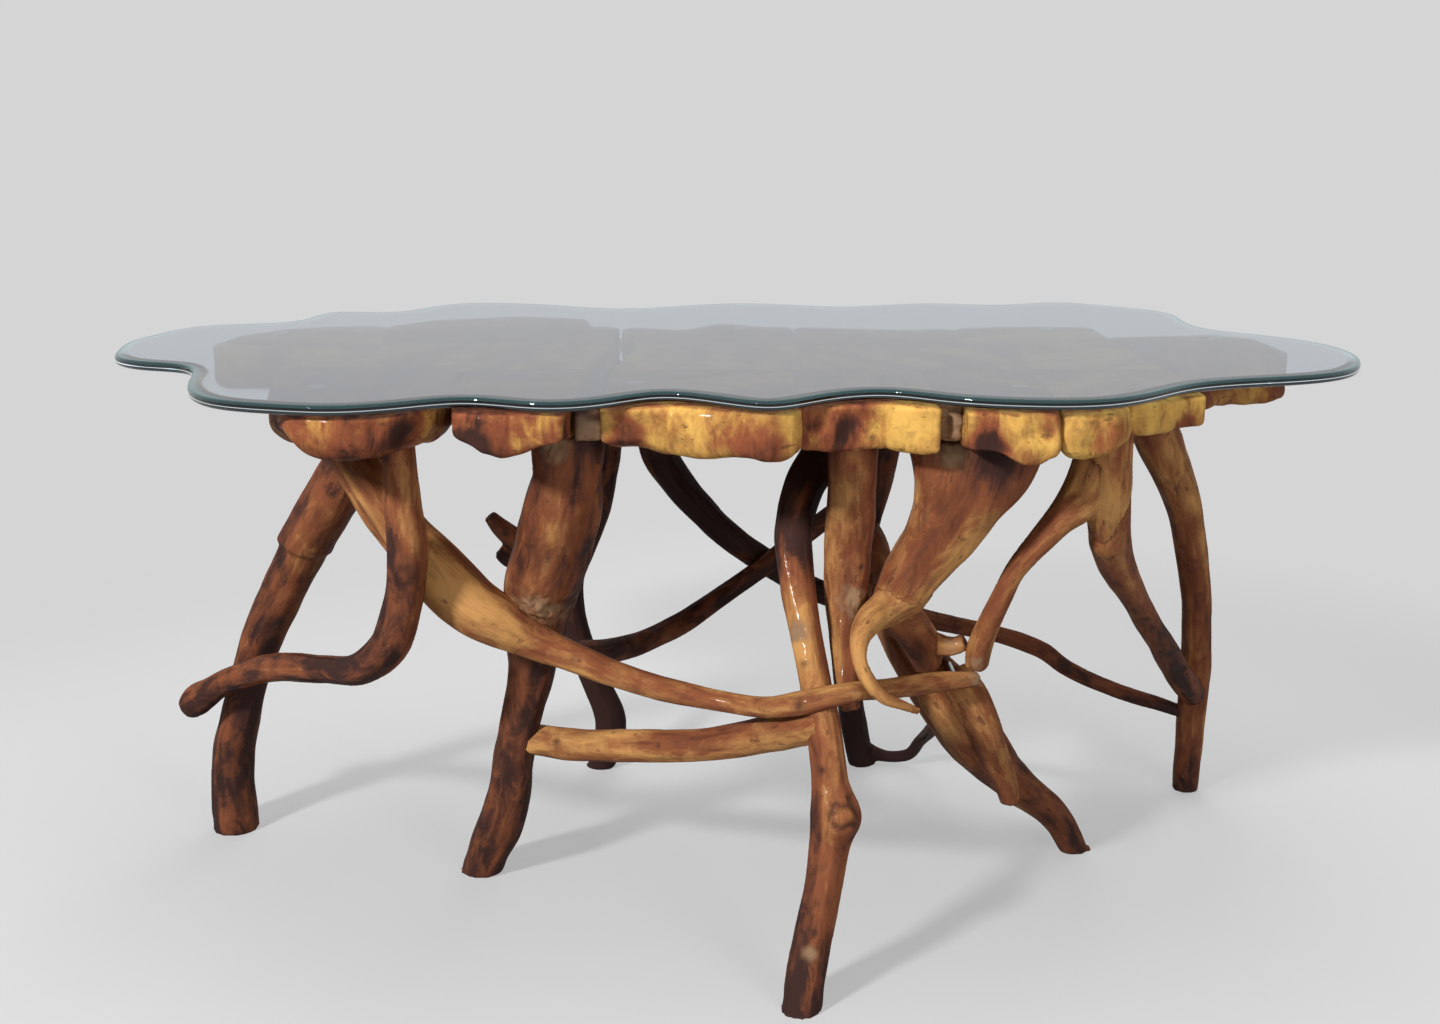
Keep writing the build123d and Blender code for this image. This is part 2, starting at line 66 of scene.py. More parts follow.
class RootTableWood(bpy.types.PropertyGroup):
    # Limb light is also what the painted highlights blend towards: the painted glints, the paler
    # ridges, which are partly worn wood and partly painted highlight, and the paler tones and shades.
    limb_light: bpy.props.FloatVectorProperty(
        name="Limb light", description="Worn ridges and sapwood of the root limbs",
        default=(0.50, 0.255, 0.086), **COLOUR_SETTING)
    limb_body: bpy.props.FloatVectorProperty(
        name="Limb body", description="Main stain of the root limbs",
        default=(0.205, 0.066, 0.030), **COLOUR_SETTING)
    # Limb dark is also the colour of painted shade: in the hollows, low down, just under the slabs, on
    # the back limbs and where shades darken a limb.
    limb_dark: bpy.props.FloatVectorProperty(
        name="Limb dark", description="Hollows, knots and low parts of the root limbs",
        default=(0.042, 0.020, 0.017), **COLOUR_SETTING)
    # Slab light is also what the slabs' painted highlights blend towards: the painted glints, the paler
    # ridges and the sheen of shades below 0.
    slab_light: bpy.props.FloatVectorProperty(
        name="Slab light", description="Palest honey figure of the slabs",
        default=(0.58, 0.335, 0.082), **COLOUR_SETTING)
    slab_body: bpy.props.FloatVectorProperty(
        name="Slab body", description="Main reddish brown of the slabs",
        default=(0.225, 0.066, 0.030), **COLOUR_SETTING)
    # Slab dark is also the colour of painted shade: in the hollows, in recesses and on the sunk front
    # filler block.
    slab_dark: bpy.props.FloatVectorProperty(
        name="Slab dark", description="Dark streaks and checks of the slabs",
        default=(0.045, 0.020, 0.016), **COLOUR_SETTING)
    scar: bpy.props.FloatVectorProperty(
        name="Scar", description="Rough bark and broken wood that the varnish left dull",
        default=(0.25, 0.150, 0.085), **COLOUR_SETTING)
    limb_voxel: bpy.props.FloatProperty(
        name="Limb mesh", description="Mesh size of the root limbs",
        min=0.002, max=0.01, default=0.0034, **LENGTH_SETTING)
    slab_voxel: bpy.props.FloatProperty(
        name="Slab mesh", description="Mesh size of the slabs",
        min=0.002, max=0.01, default=0.0032, **LENGTH_SETTING)
    relief: bpy.props.FloatProperty(
        name="Relief", description="Height of the ripples on the limbs and of the slabs' sides",
        min=0.0, max=0.006, default=0.0022, **LENGTH_SETTING)


class RootTableGlass(bpy.types.PropertyGroup):
    tint: bpy.props.FloatVectorProperty(
        name="Tint", description="Colour of the glass seen through its thickness",
        default=(0.50, 0.57, 0.65), **COLOUR_SETTING)
    edge: bpy.props.FloatVectorProperty(
        name="Edge", description="Nearly black green of the polished glass edge",
        default=(0.004, 0.009, 0.013), **COLOUR_SETTING)
    bevel: bpy.props.FloatVectorProperty(
        name="Bevel", description="Teal of the rounded rim on top of the edge",
        default=(0.45, 0.66, 0.70), **COLOUR_SETTING)


class RootTableStage(bpy.types.PropertyGroup):
    backdrop: bpy.props.FloatVectorProperty(
        name="Backdrop", description="Plain pale colour of the floor and the surroundings",
        default=(0.665, 0.665, 0.665), **COLOUR_SETTING)
    key_power: bpy.props.FloatProperty(
        name="Key light", description="Power of the main lamp, in front on the left",
        subtype="POWER", unit="POWER", min=0.0, max=500.0, default=235.0)
    lens: bpy.props.FloatProperty(
        name="Lens", description="Focal length of the camera in millimetres",
        subtype="DISTANCE_CAMERA", min=20.0, max=120.0, default=42.0)


# ---- noise and mesh helpers ---------------------------------------------------------------
# Odd numbers that scramble a cell's place and the seed, and the bits kept of the result.
CELL_MIX = np.array([374761393, 668265263, 1442695041])
SEED_MIX = 974634777
LAST_MIX = 1274126177
WORD = 0xFFFFFFFF
HALF_WORD = 0xFFFF
CORNERS = np.array([[corner & 1, (corner >> 1) & 1, corner >> 2] for corner in range(8)])
# How far one step of relaxing moves a vertex towards its neighbours, and the step back beside it.
RELAX_PULL = 0.5
RELAX_RETURN = 1.02


def lattice_noise(points, seed):
    """Smooth value noise in -1..1 over points given in cells."""
    cell = np.floor(points).astype(np.int64)
    part = points - cell
    part = part * part * (3.0 - 2.0 * part)
    total = np.zeros(len(points))
    for step in CORNERS:
        code = ((cell + step) @ CELL_MIX + seed * SEED_MIX) & WORD
        code = ((code ^ (code >> 13)) * LAST_MIX) & WORD
        code = (code ^ (code >> 16)) & HALF_WORD
        weight = np.prod(np.where(step == 1, part, 1.0 - part), axis=1)
        total += weight * (2.0 * code / HALF_WORD - 1.0)
    return total


def layered_noise(points, seed, octaves):
    """Value noise in layers, each twice as fine and half as high as the one before."""
    total = np.zeros(len(points))
    for octave in range(octaves):
        total += lattice_noise(points * 2.0 ** octave, seed + octave) / 2.0 ** octave
    return total


def read_vertices(mesh, what):
    """The places ("co") or the normals ("normal") of a mesh's vertices."""
    values = np.empty(len(mesh.vertices) * 3)
    mesh.vertices.foreach_get(what, values)
    return values.reshape(-1, 3)


def write_points(mesh, points):
    mesh.vertices.foreach_set("co", points.ravel())
    mesh.update()


def write_attribute(mesh, name, values):
    """Keep one number or one vector per vertex, for the materials to read."""
    kind, part = ("FLOAT_VECTOR", "vector") if values.ndim == 2 else ("FLOAT", "value")
    layer = mesh.attributes.new(name, kind, "POINT")
    layer.data.foreach_set(part, values.ravel().astype(float))


def new_object(name, data):
    piece = bpy.data.objects.new(name, data)
    bpy.context.scene.collection.objects.link(piece)
    return piece


def remesh(piece, voxel):
    """Rebuild a piece's mesh in even cells, joining what overlaps."""
    modifier = piece.modifiers.new("remesh", "REMESH")
    modifier.mode = "VOXEL"
    modifier.voxel_size = voxel
    graph = bpy.context.evaluated_depsgraph_get()
    mesh = bpy.data.meshes.new_from_object(piece.evaluated_get(graph))
    piece.modifiers.clear()
    old = piece.data
    piece.data = mesh
    bpy.data.meshes.remove(old)
    return mesh


def skin_mesh(name, stacks):
    """A mesh of closed skins, each over one stack of equal rings of points."""
    sketch = bmesh.new()
    for stack in stacks:
        rings = [[sketch.verts.new(point) for point in ring] for ring in stack]
        total = len(rings[0])
        for lower, upper in zip(rings, rings[1:]):
            for side in range(total):
                turn = (side + 1) % total
                sketch.faces.new((lower[side], lower[turn], upper[turn], upper[side]))
        sketch.faces.new(rings[0][::-1])
        sketch.faces.new(rings[-1])
    bmesh.ops.recalc_face_normals(sketch, faces=sketch.faces)
    mesh = bpy.data.meshes.new(name)
    sketch.to_mesh(mesh)
    sketch.free()
    return mesh


def shade_smooth(mesh):
    mesh.polygons.foreach_set("use_smooth", np.ones(len(mesh.polygons), bool))


def read_edges(mesh):
    """The first and the second vertex of every edge."""
    edges = np.empty(len(mesh.edges) * 2, int)
    mesh.edges.foreach_get("vertices", edges)
    return edges.reshape(-1, 2).T


def neighbour_sums(edges, values):
    """For each vertex, the sum of its neighbours' values."""
    first, second = edges
    return (np.bincount(first, values[second], len(values))
            + np.bincount(second, values[first], len(values)))


def relax(mesh, rounds):
    """Even out a mesh by moving each vertex towards the mean of its neighbours and back."""
    edges = read_edges(mesh)
    points = read_vertices(mesh, "co")
    count = np.bincount(edges.ravel(), minlength=len(points))[:, None]
    for turn in range(2 * rounds):
        total = np.column_stack([neighbour_sums(edges, column) for column in points.T])
        pull = RELAX_PULL if turn % 2 == 0 else -RELAX_PULL * RELAX_RETURN
        points = points + pull * (total / count - points)
    write_points(mesh, points)


def even_out(mesh, values, rounds):
    """Blend one value per vertex with the values of its neighbours."""
    edges = read_edges(mesh)
    count = np.bincount(edges.ravel(), minlength=len(values))
    for _ in range(rounds):
        values = (values + neighbour_sums(edges, values)) / (1 + count)
    return values


# ---- root limbs ---------------------------------------------------------------------------
# Stations of each limb on the full-size drawing: x, y, z of the heart, then the width seen from
# the front and, where it differs, the depth from front to back, all in millimetres.
LIMBS = {
    "left_leg": [(-752, 120, -20, 70), (-748, 108, 70, 62), (-738, 92, 140, 58), (-718, 75, 206, 56),
        (-694, 58, 274, 56), (-668, 42, 336, 58), (-634, 20, 400, 61), (-595, -5, 468, 64),
        (-572, -22, 506, 68), (-548, -42, 542, 76), (-513, -72, 594, 72), (-472, -104, 650, 66),
        (-432, -128, 715, 66)],
    "elbow_brace": [(-786, 48, 220, 36), (-772, 42, 234, 45), (-752, 30, 249, 40), (-732, 15, 265, 36),
        (-667, -36, 304, 38), (-589, -120, 340, 38), (-527, -182, 358, 36), (-466, -240, 381, 43),
        (-422, -274, 426, 51), (-398, -294, 487, 50), (-388, -310, 554, 51), (-390, -320, 619, 44),
        (-392, -322, 715, 36)],
    "front_left_leg": [(-362, -26, -20, 52), (-345, -36, 30, 62), (-327, -50, 75, 65),
        (-308, -72, 130, 61), (-296, -90, 205, 57), (-280, -108, 270, 55), (-265, -128, 335, 62),
        (-256, -150, 385, 72), (-248, -172, 432, 84), (-238, -198, 480, 96), (-220, -232, 535, 100),
        (-204, -272, 595, 96), (-192, -312, 655, 86), (-186, -326, 715, 88)],
    "back_left_leg": [(-216, 370, -20, 42), (-197, 352, 45, 47), (-192, 338, 95, 49),
        (-208, 325, 150, 46), (-228, 312, 212, 44), (-246, 300, 282, 43), (-252, 288, 350, 52),
        (-234, 275, 414, 63), (-212, 260, 481, 68), (-198, 238, 555, 74), (-192, 202, 640, 72),
        (-190, 174, 715, 72)],
    "front_centre_leg": [(88, -416, -20, 50), (103, -400, 88, 47), (117, -390, 165, 44),
        (124, -376, 210, 48), (127, -372, 236, 54), (124, -362, 272, 46), (119, -348, 320, 44),
        (109, -318, 379, 41), (97, -285, 439, 41), (86, -250, 500, 46), (83, -218, 556, 50),
        (97, -190, 606, 54), (126, -160, 650, 58), (142, -142, 715, 58)],
    "centre_brace": [(150, -309, 350, 26), (147, -304, 376, 30), (147, -285, 408, 35),
        (148, -250, 444, 44), (149, -236, 491, 56), (151, -242, 545, 60), (150, -272, 608, 60),
        (149, -296, 664, 60), (148, -314, 715, 60)],
    "back_right_leg": [(232, 378, -20, 42), (218, 365, 45, 43), (204, 336, 118, 43),
        (198, 300, 208, 45), (197, 260, 320, 47), (202, 225, 419, 52), (210, 190, 498, 60),
        (218, 152, 576, 72), (226, 130, 650, 74), (228, 126, 715, 74)],
    "hook_trunk": [(264, -166, 362, 40), (254, -182, 388, 47), (234, -208, 425, 52),
        (210, -232, 462, 62), (224, -246, 496, 72, 66), (255, -270, 552, 84, 72),
        (278, -294, 613, 110, 84), (288, -308, 654, 146, 96), (296, -308, 715, 184, 104)],
    "right_centre_leg": [(528, 48, -20, 38), (475, 6, 72, 44), (423, -40, 128, 51), (367, -84, 192, 68),
        (326, -118, 250, 79), (299, -138, 298, 83), (263, -110, 340, 68), (236, -40, 372, 56),
        (226, 60, 404, 49), (216, 150, 442, 44), (208, 196, 458, 40)],
    "forked_brace": [(473, -236, 556, 30), (468, -250, 582, 46), (465, -262, 615, 58),
        (462, -262, 655, 66), (458, -262, 715, 68)],
    "right_leg": [(745, 274, -20, 40), (740, 254, 45, 41), (731, 222, 133, 43), (729, 205, 207, 45),
        (721, 185, 284, 44), (711, 165, 352, 45), (692, 140, 426, 47), (668, 110, 499, 50),
        (639, 80, 561, 57), (606, 48, 620, 62), (582, 26, 672, 64), (578, 22, 715, 64)],
    "front_stretcher": [(-512, -196, 715, 56), (-490, -202, 676, 56), (-459, -214, 628, 58),
        (-406, -228, 552, 65), (-367, -232, 507, 76), (-327, -232, 463, 76), (-284, -228, 434, 64),
        (-240, -226, 408, 46), (-188, -236, 390, 38), (-137, -250, 373, 34), (-80, -265, 361, 32),
        (-10, -285, 352, 26), (42, -310, 353, 27), (85, -336, 367, 31), (123, -345, 379, 29),
        (155, -332, 381, 26), (195, -302, 374, 26), (237, -256, 363, 27), (280, -222, 356, 26),
        (326, -202, 352, 18)],
    "low_stretcher": [(-268, -100, 228, 42), (-200, -130, 232, 43), (-144, -158, 242, 44),
        (-83, -190, 255, 44), (-30, -220, 269, 43), (16, -250, 288, 46), (59, -288, 312, 46),
        (118, -346, 344, 44)],
    "back_stretcher": [(200, 264, 320, 33), (258, 266, 308, 31), (312, 264, 289, 30),
        (371, 258, 277, 27), (423, 252, 267, 26), (468, 248, 254, 28), (498, 244, 242, 28),
        (528, 240, 220, 26), (603, 230, 186, 24), (678, 222, 163, 22), (728, 216, 146, 19)],
    "rising_brace": [(-262, -132, 366, 32), (-239, -95, 353, 33), (-207, -20, 328, 34),
        (-163, 70, 302, 35), (-129, 115, 297, 34), (-70, 150, 316, 33), (-10, 175, 351, 30),
        (58, 192, 396, 30), (112, 200, 437, 30), (179, 200, 488, 30), (206, 198, 506, 30)],
    "falling_brace": [(202, 258, 318, 32), (175, 252, 326, 34), (114, 238, 356, 37), (64, 226, 391, 40),
        (13, 213, 430, 43), (-40, 200, 484, 45), (-76, 184, 530, 49), (-100, 164, 576, 54),
        (-108, 152, 640, 54), (-108, 150, 715, 54)],
}
# The branches of the forked limbs, in the same way.
BRANCHES = {
    "back_left_leg": [
        [(-228, 270, 425, 48), (-262, 262, 398, 46), (-303, 250, 402, 44), (-332, 243, 428, 34),
         (-352, 238, 448, 26), (-364, 235, 463, 20)],
        [(-290, 254, 400, 40), (-318, 246, 392, 40), (-340, 240, 398, 34), (-352, 238, 406, 22)]],
    "back_right_leg": [
        [(214, 362, 52, 34), (230, 374, 28, 30), (267, 372, 14, 20), (300, 360, 20, 20),
         (318, 325, 58, 20), (326, 220, 122, 22), (322, 100, 194, 21), (316, -20, 250, 21),
         (312, -84, 276, 21)]],
    "hook_trunk": [
        [(226, -244, 484, 60), (201, -256, 468, 48), (172, -292, 458, 34), (159, -323, 443, 23),
         (159, -341, 424, 18), (169, -350, 402, 18), (189, -348, 379, 16), (212, -338, 366, 12),
         (234, -325, 353, 9)],
        [(246, -190, 404, 40), (268, -188, 396, 32), (290, -194, 394, 26), (308, -200, 402, 22)]],
    "right_centre_leg": [
        [(300, -134, 330, 56), (320, -155, 308, 56), (340, -160, 274, 49), (360, -142, 224, 40),
         (380, -122, 180, 33), (391, -106, 142, 27)]],
    "forked_brace": [
        [(452, -262, 650, 60), (440, -262, 618, 56), (423, -262, 596, 46), (408, -262, 581, 38),
         (388, -260, 556, 33), (370, -254, 530, 28), (359, -248, 511, 26), (346, -240, 476, 27),
         (331, -228, 434, 29), (323, -212, 396, 32), (322, -204, 370, 29)],
        [(464, -264, 632, 54), (470, -254, 600, 52), (482, -220, 550, 50), (502, -170, 504, 48),
         (543, -100, 442, 39), (590, -20, 372, 38), (639, 60, 304, 39), (683, 130, 240, 41),
         (722, 190, 190, 40)]],
}
# Height in millimetres at which a slab sits on the limb's top, and one above all the others.
LIMB_TOPS = {
    "left_leg": 692.7, "elbow_brace": 692.7, "front_left_leg": 694.7, "back_left_leg": 689.7,
    "front_centre_leg": 692.7, "centre_brace": 690.7, "back_right_leg": 688.7, "hook_trunk": 684.7,
    "forked_brace": 686.7, "right_leg": 690.7, "front_stretcher": 692.7, "falling_brace": 690.7,
}
NO_SLAB = 2000.0

# How dark each limb and then each of its branches is painted: 0 is the middle, 1 nearly black, and a
# number below 0 is paler. This is partly the stain and partly painted shade and highlight: the back
# limbs are painted darkest, as in the shade under the table, and some lit branches paler.
LIMB_TONES = {
    "left_leg": (0.34,), "elbow_brace": (0.24,), "front_left_leg": (0.3,),
    "back_left_leg": (0.7, 0.6, 0.6), "front_centre_leg": (0.02,), "centre_brace": (0.2,),
    "back_right_leg": (0.62, 0.6), "hook_trunk": (0.06, -0.04, 0.12), "right_centre_leg": (0.1, -0.16),
    "forked_brace": (0.04, -0.08, 0.2), "right_leg": (0.06,), "front_stretcher": (-0.2,),
    "low_stretcher": (-0.26,), "back_stretcher": (0.4,), "rising_brace": (0.52,),
    "falling_brace": (0.62,),
}
# Towards the floor the limbs are painted darker, as painted shade of the light from above and partly as
# stain: by how much there, and the height where that ends.
LOW_SHADE_TONE = 0.34
LOW_SHADE_HEIGHT = 0.60
# Just under the slabs the limbs are painted dark again, as painted shadow of the slabs: by how much,
# and within what distance.
UNDER_SLAB_SHADE = 0.35
UNDER_SLAB_SHADE_REACH = 0.035
FAR_BELOW = 3.0
# Rounds in which the tone is blended from vertex to vertex, and in which the mesh is relaxed on
# a limb of one stem and on a forked one.
TONE_BLEND = 14
STEM_ROUNDS = 4
FORK_ROUNDS = 7
RING_SIDES = 40
RING_STEP = 0.006
# How far a limb's top stands in the slab's mortise.
SLAB_BITE = 0.012
# The foot stays plain up to a height, and the ripples and marks come in over the next stretch.
FOOT_PLAIN = 0.004
FOOT_BLEND = 0.02
# How far along the grain each branch lies from its limb, and each limb from the last one.
GRAIN_OFFSET = 0.7
GRAIN_SHIFT = 1.9
# Ripples: turns round the limb and along it, seed, and share of the relief; then the length that
# one turn along it takes, the layers, the radius of full relief and the least and most of it.
RIPPLES = [((1.3, 1.3, 1.0), 0, 0.9), ((3.6, 3.6, 2.2), 20, 0.45), ((0.9, 0.9, 3.0), 40, 0.7)]
RIPPLE_LENGTH = 0.16
RIPPLE_LAYERS = 2
RIPPLE_RADIUS = 0.03
RIPPLE_SHARES = (0.35, 1.2)
# What the materials read as relief on a plain surface, and how many reliefs of height, from the
# lowest to the highest, move it from 0 to 1.
RELIEF_MIDDLE = 0.5
RELIEF_SPAN = 4.0


def smooth_chain(stations):
    """Stations run through by a smooth line: hearts, widths, depths and the run along them."""
    rows = np.array([list(row[:3]) + [row[3], row[-1]] for row in stations], float)
    rows[:, :3] = at(rows[:, :3])
    rows[:, 3:] *= MM
    lengths = np.linalg.norm(np.diff(rows[:, :3], axis=0), axis=1)
    knots = np.concatenate([[0.0], np.cumsum(lengths)])
    slopes = np.gradient(rows, knots, axis=0)
    count = max(3, int(knots[-1] / RING_STEP))
    where = np.linspace(0.0, knots[-1], count)
    span = np.clip(np.searchsorted(knots, where, side="right") - 1, 0, len(lengths) - 1)
    step = lengths[span][:, None]
    t = ((where - knots[span]) / lengths[span])[:, None]
    line = ((2 * t**3 - 3 * t**2 + 1) * rows[span] + (t**3 - 2 * t**2 + t) * step * slopes[span]
            + (3 * t**2 - 2 * t**3) * rows[span + 1] + (t**3 - t**2) * step * slopes[span + 1])
    run = np.gradient(line[:, :3], where, axis=0)
    run /= np.linalg.norm(run, axis=1)[:, None]
    return {"heart": line[:, :3], "width": line[:, 3], "depth": line[:, 4], "run": run,
            "along": where}


def chain_axes(chain):
    """Directions across the limb: sideways as seen from the front, and front to back."""
    across = np.cross(chain["run"], (0.0, 1.0, 0.0))
    across /= np.linalg.norm(across, axis=1)[:, None]
    return across, np.cross(chain["run"], across)


def tube_rings(chain, low, high):
    """Oval rings along one chain, kept between the floor and the slab above."""
    across, inward = chain_axes(chain)
    angles = np.linspace(0.0, 2.0 * np.pi, RING_SIDES, endpoint=False)
    rings = []
    for index in range(len(chain["heart"])):
        reach = (np.cos(angles)[:, None] * across[index] * chain["width"][index]
                 + np.sin(angles)[:, None] * inward[index] * chain["depth"][index]) / 2
        ring = chain["heart"][index] + reach
        ring[:, 2] = np.clip(ring[:, 2], low, high)
        rings.append(ring)
    return rings


def grain_frame(points, chains):
    """For each point: its place across and along the limb, the radius there and the chain."""
    across, inward = [np.concatenate(axes) for axes in zip(*map(chain_axes, chains))]
    heart = np.concatenate([chain["heart"] for chain in chains])
    along = np.concatenate([chain["along"] + GRAIN_OFFSET * index
                            for index, chain in enumerate(chains)])
    radius = np.concatenate([(chain["width"] + chain["depth"]) / 4 for chain in chains])
    owner = np.repeat(np.arange(len(chains)), [len(chain["along"]) for chain in chains])
    gap = np.linalg.norm(points[:, None, :] - heart[None, :, :], axis=2) / radius[None, :]
    nearest = np.argmin(gap, axis=1)
    offset = points - heart[nearest]
    side = np.sum(offset * across[nearest], axis=1)
    front = np.sum(offset * inward[nearest], axis=1)
    return np.column_stack([side, front, along[nearest]]), radius[nearest], owner[nearest]


def limb_ripples(grain, radius, seed, relief):
    """Long flutes and soft swellings that run with the grain."""
    turn = grain / np.column_stack([radius, radius, np.full(len(radius), RIPPLE_LENGTH)])
    height = sum(share * layered_noise(turn * turns, seed + shift, RIPPLE_LAYERS)
                 for turns, shift, share in RIPPLES)
    return relief * np.clip(radius / RIPPLE_RADIUS, *RIPPLE_SHARES) * height


# Marks on the limbs: kind, place on the full-size drawing, radius in millimetres, then height in
# millimetres or, for a shade, how much darker the colour is painted and, for a push, the way it goes.
# The shades are mostly painted shade, as under the slabs, and below 0 painted highlight, as the sheen
# on the fork, and in places the stain.
LIMB_MARKS = {
    "left_leg": [("ledge", (-606, -31, 483), 36, 8), ("shade", (-590, -50, 520), 40, -0.3),
        ("shade", (-545, -80, 580), 40, -0.25), ("knot", (-654, 20, 333), 16, 3),
        ("lump", (-590, -38, 520), 34, 3), ("knot", (-632, 10, 372), 10, 1.5)],
    "elbow_brace": [("knot", (-388, -328, 538), 17, 5), ("lump", (-771, 24, 240), 24, 3),
        ("knot", (-783, 30, 226), 14, 2), ("knot", (-400, -318, 470), 10, 1.8),
        ("knot", (-700, -25, 300), 9, 1.4)],
    "front_left_leg": [("shade", (-300, -200, 180), 130, 0.3), ("scar", (-201, -359, 690), 18, 5),
        ("scar", (-240, -222, 460), 36, 6), ("lump", (-240, -225, 478), 34, 4),
        ("knot", (-261, -239, 503), 15, 3), ("knot", (-205, -310, 600), 8, 1.2),
        ("dent", (-186, -340, 650), 30, 3)],
    "back_left_leg": [("lump", (-232, 278, 420), 30, 4), ("knot", (-340, 225, 440), 12, 3)],
    "front_centre_leg": [("shade", (126, -170, 640), 90, 1), ("shade", (88, -232, 540), 50, 0.65),
        ("burl", (140, -396, 246), 27, 9), ("knot", (146, -404, 238), 11, 2.5),
        ("lump", (148, -384, 236), 26, 5), ("knot", (106, -398, 262), 12, 3),
        ("shade", (124, -350, 340), 70, 0.22), ("shade", (150, -390, 215), 26, 0.4),
        ("knot", (113, -412, 186), 11, 2), ("knot", (106, -420, 141), 11, 2),
        ("dent", (113, -412, 186), 10, 3), ("dent", (106, -420, 141), 9, 2.5),
        ("scar", (100, -424, 78), 11, 2), ("shade", (104, -420, 20), 50, 0.25),
        ("scar", (86, -300, 447), 15, 2.5), ("knot", (113, -376, 297), 11, 2.5),
        ("knot", (95, -318, 412), 9, 2), ("knot", (117, -404, 165), 8, 2),
        ("knot", (104, -422, 105), 9, 1.6)],
    "centre_brace": [("knot", (148, -326, 639), 14, 5), ("scar", (159, -264, 475), 20, 4.5),
        ("dent", (150, -300, 585), 10, 2), ("knot", (165, -262, 520), 9, 2)],
    "hook_trunk": [("shade", (325, -340, 665), 55, 0.7), ("shade", (190, -280, 478), 30, -0.2),
        ("scar", (262, -352, 684), 18, 6), ("lump", (300, -345, 610), 40, 4),
        ("knot", (254, -317, 594), 8, 1.8), ("knot", (282, -318, 572), 7, 1.5),
        ("knot", (240, -290, 545), 7, 1.5), ("dent", (262, -320, 628), 26, 3),
        ("lump", (228, -262, 500), 20, 3), ("scar", (292, -195, 392), 16, 3.5),
        ("dent", (196, -285, 470), 10, 2)],
    "right_centre_leg": [("lump", (294, -176, 314), 44, 6), ("shade", (440, -60, 110), 80, -0.3),
        ("scar", (388, -104, 143), 9, 2.5), ("dent", (322, -168, 268), 12, 2.5),
        ("knot", (430, -70, 122), 12, 2.5), ("knot", (340, -155, 262), 7, 1.5)],
    "forked_brace": [("lump", (440, -286, 606), 22, 4), ("shade", (452, -290, 600), 30, -0.35),
        ("scar", (319, -222, 378), 11, 2), ("shade", (330, -235, 420), 34, -0.25),
        ("lump", (466, -232, 532), 20, 6), ("knot", (560, -86, 420), 9, 2),
        ("knot", (656, 66, 286), 10, 2.2)],
    "right_leg": [("shade", (720, 180, 150), 120, -0.2), ("knot", (691, 120, 424), 9, 2),
        ("knot", (716, 170, 300), 9, 2)],
    "front_stretcher": [("lump", (-300, -262, 440), 34, 3), ("knot", (87, -351, 371), 12, 2.5),
        ("knot", (-196, -256, 398), 8, 1.6), ("scar", (322, -210, 353), 10, 1.5),
        ("knot", (-400, -262, 548), 10, 2)],
    "low_stretcher": [("knot", (-232, -138, 240), 12, 2.5), ("lump", (60, -300, 320), 22, 3),
        ("knot", (-90, -208, 262), 8, 1.5)],
}
# Shapes of the marks: the names that end in CELL, EDGE or GRAIN are lengths in metres, and the
# others, but for the seeds, are shares of the mark's radius or height.
BURL_RING = 0.62
BURL_WIDTH = 0.14
BURL_DEPTH = 0.45
BURL_STAIN = 0.85
BURL_WAVER = 0.30
BURL_CELL = 0.014
BURL_SEED = 60
KNOT_DEPTH = 0.9
KNOT_PIT = 0.38
KNOT_STAIN = 0.5
LEDGE_SLANT = 0.25
LEDGE_EDGE = 0.0022
LEDGE_REACH = 2.2
SCAR_FILL = 1.6
SCAR_FADE = 1.3
SCAR_FRAY = 0.5
SCAR_CELL = 0.012
SCAR_GRAIN = np.array([0.005, 0.005, 0.011])
SCAR_SEED = 5
SCAR_ROUGH = 0.7
SCAR_SINK = 0.35


def apply_marks(marks, points, seed):
    """Heights, masks, change of shade and shift of the marks around their places."""
    height, scar, knot, shade = np.zeros((4, len(points)))
    shift = np.zeros(points.shape)
    for kind, place, radius, rise in marks:
        spot = at(place)[0]
        radius = radius * MM
        rise = np.array(rise) if kind == "shade" else np.array(rise) * MM
        reach = np.linalg.norm(points - spot, axis=1) / radius
        hill = np.exp(-reach**2)
        if kind == "burl":
            wavy = reach + BURL_WAVER * layered_noise(points / BURL_CELL, seed + BURL_SEED, 2)
            groove = np.exp(-((wavy - BURL_RING) / BURL_WIDTH) ** 2)
            height += rise * (hill - BURL_DEPTH * groove)
            knot = np.maximum(knot, BURL_STAIN * groove)
        elif kind == "knot":
            height += rise * (hill - KNOT_DEPTH * np.exp(-(reach / KNOT_PIT) ** 2))
            knot = np.maximum(knot, np.exp(-(reach / KNOT_STAIN) ** 2))
        elif kind == "shade":
            # A shade paints the colour darker where it is above 0, as painted shade, and paler below 0,
            # as painted highlight; in places it follows the stain.
            shade += rise * hill
        elif kind == "push":
            shift += hill[:, None] * rise
        elif kind == "lump":
            height += rise * hill
        elif kind == "dent":
            height -= rise * hill
        elif kind == "ledge":
            side = points[:, 2] - spot[2] + LEDGE_SLANT * (points[:, 0] - spot[0])
            step = 1.0 / (1.0 + np.exp(-side / LEDGE_EDGE))
            fall = np.exp(-np.clip(side, 0, 1) / (LEDGE_REACH * radius))
            height += rise * step * fall * np.exp(-(reach / LEDGE_REACH) ** 2)
        elif kind == "scar":
            fray = SCAR_FRAY * layered_noise(points / SCAR_CELL, seed, 2)
            patch = np.clip(SCAR_FILL - SCAR_FADE * reach + fray, 0, 1)
            rough = layered_noise(points / SCAR_GRAIN, seed + SCAR_SEED, 3)
            height += patch * rise * (SCAR_ROUGH * rough - SCAR_SINK)
            scar = np.maximum(scar, patch)
    return height, scar, knot, shade, shift


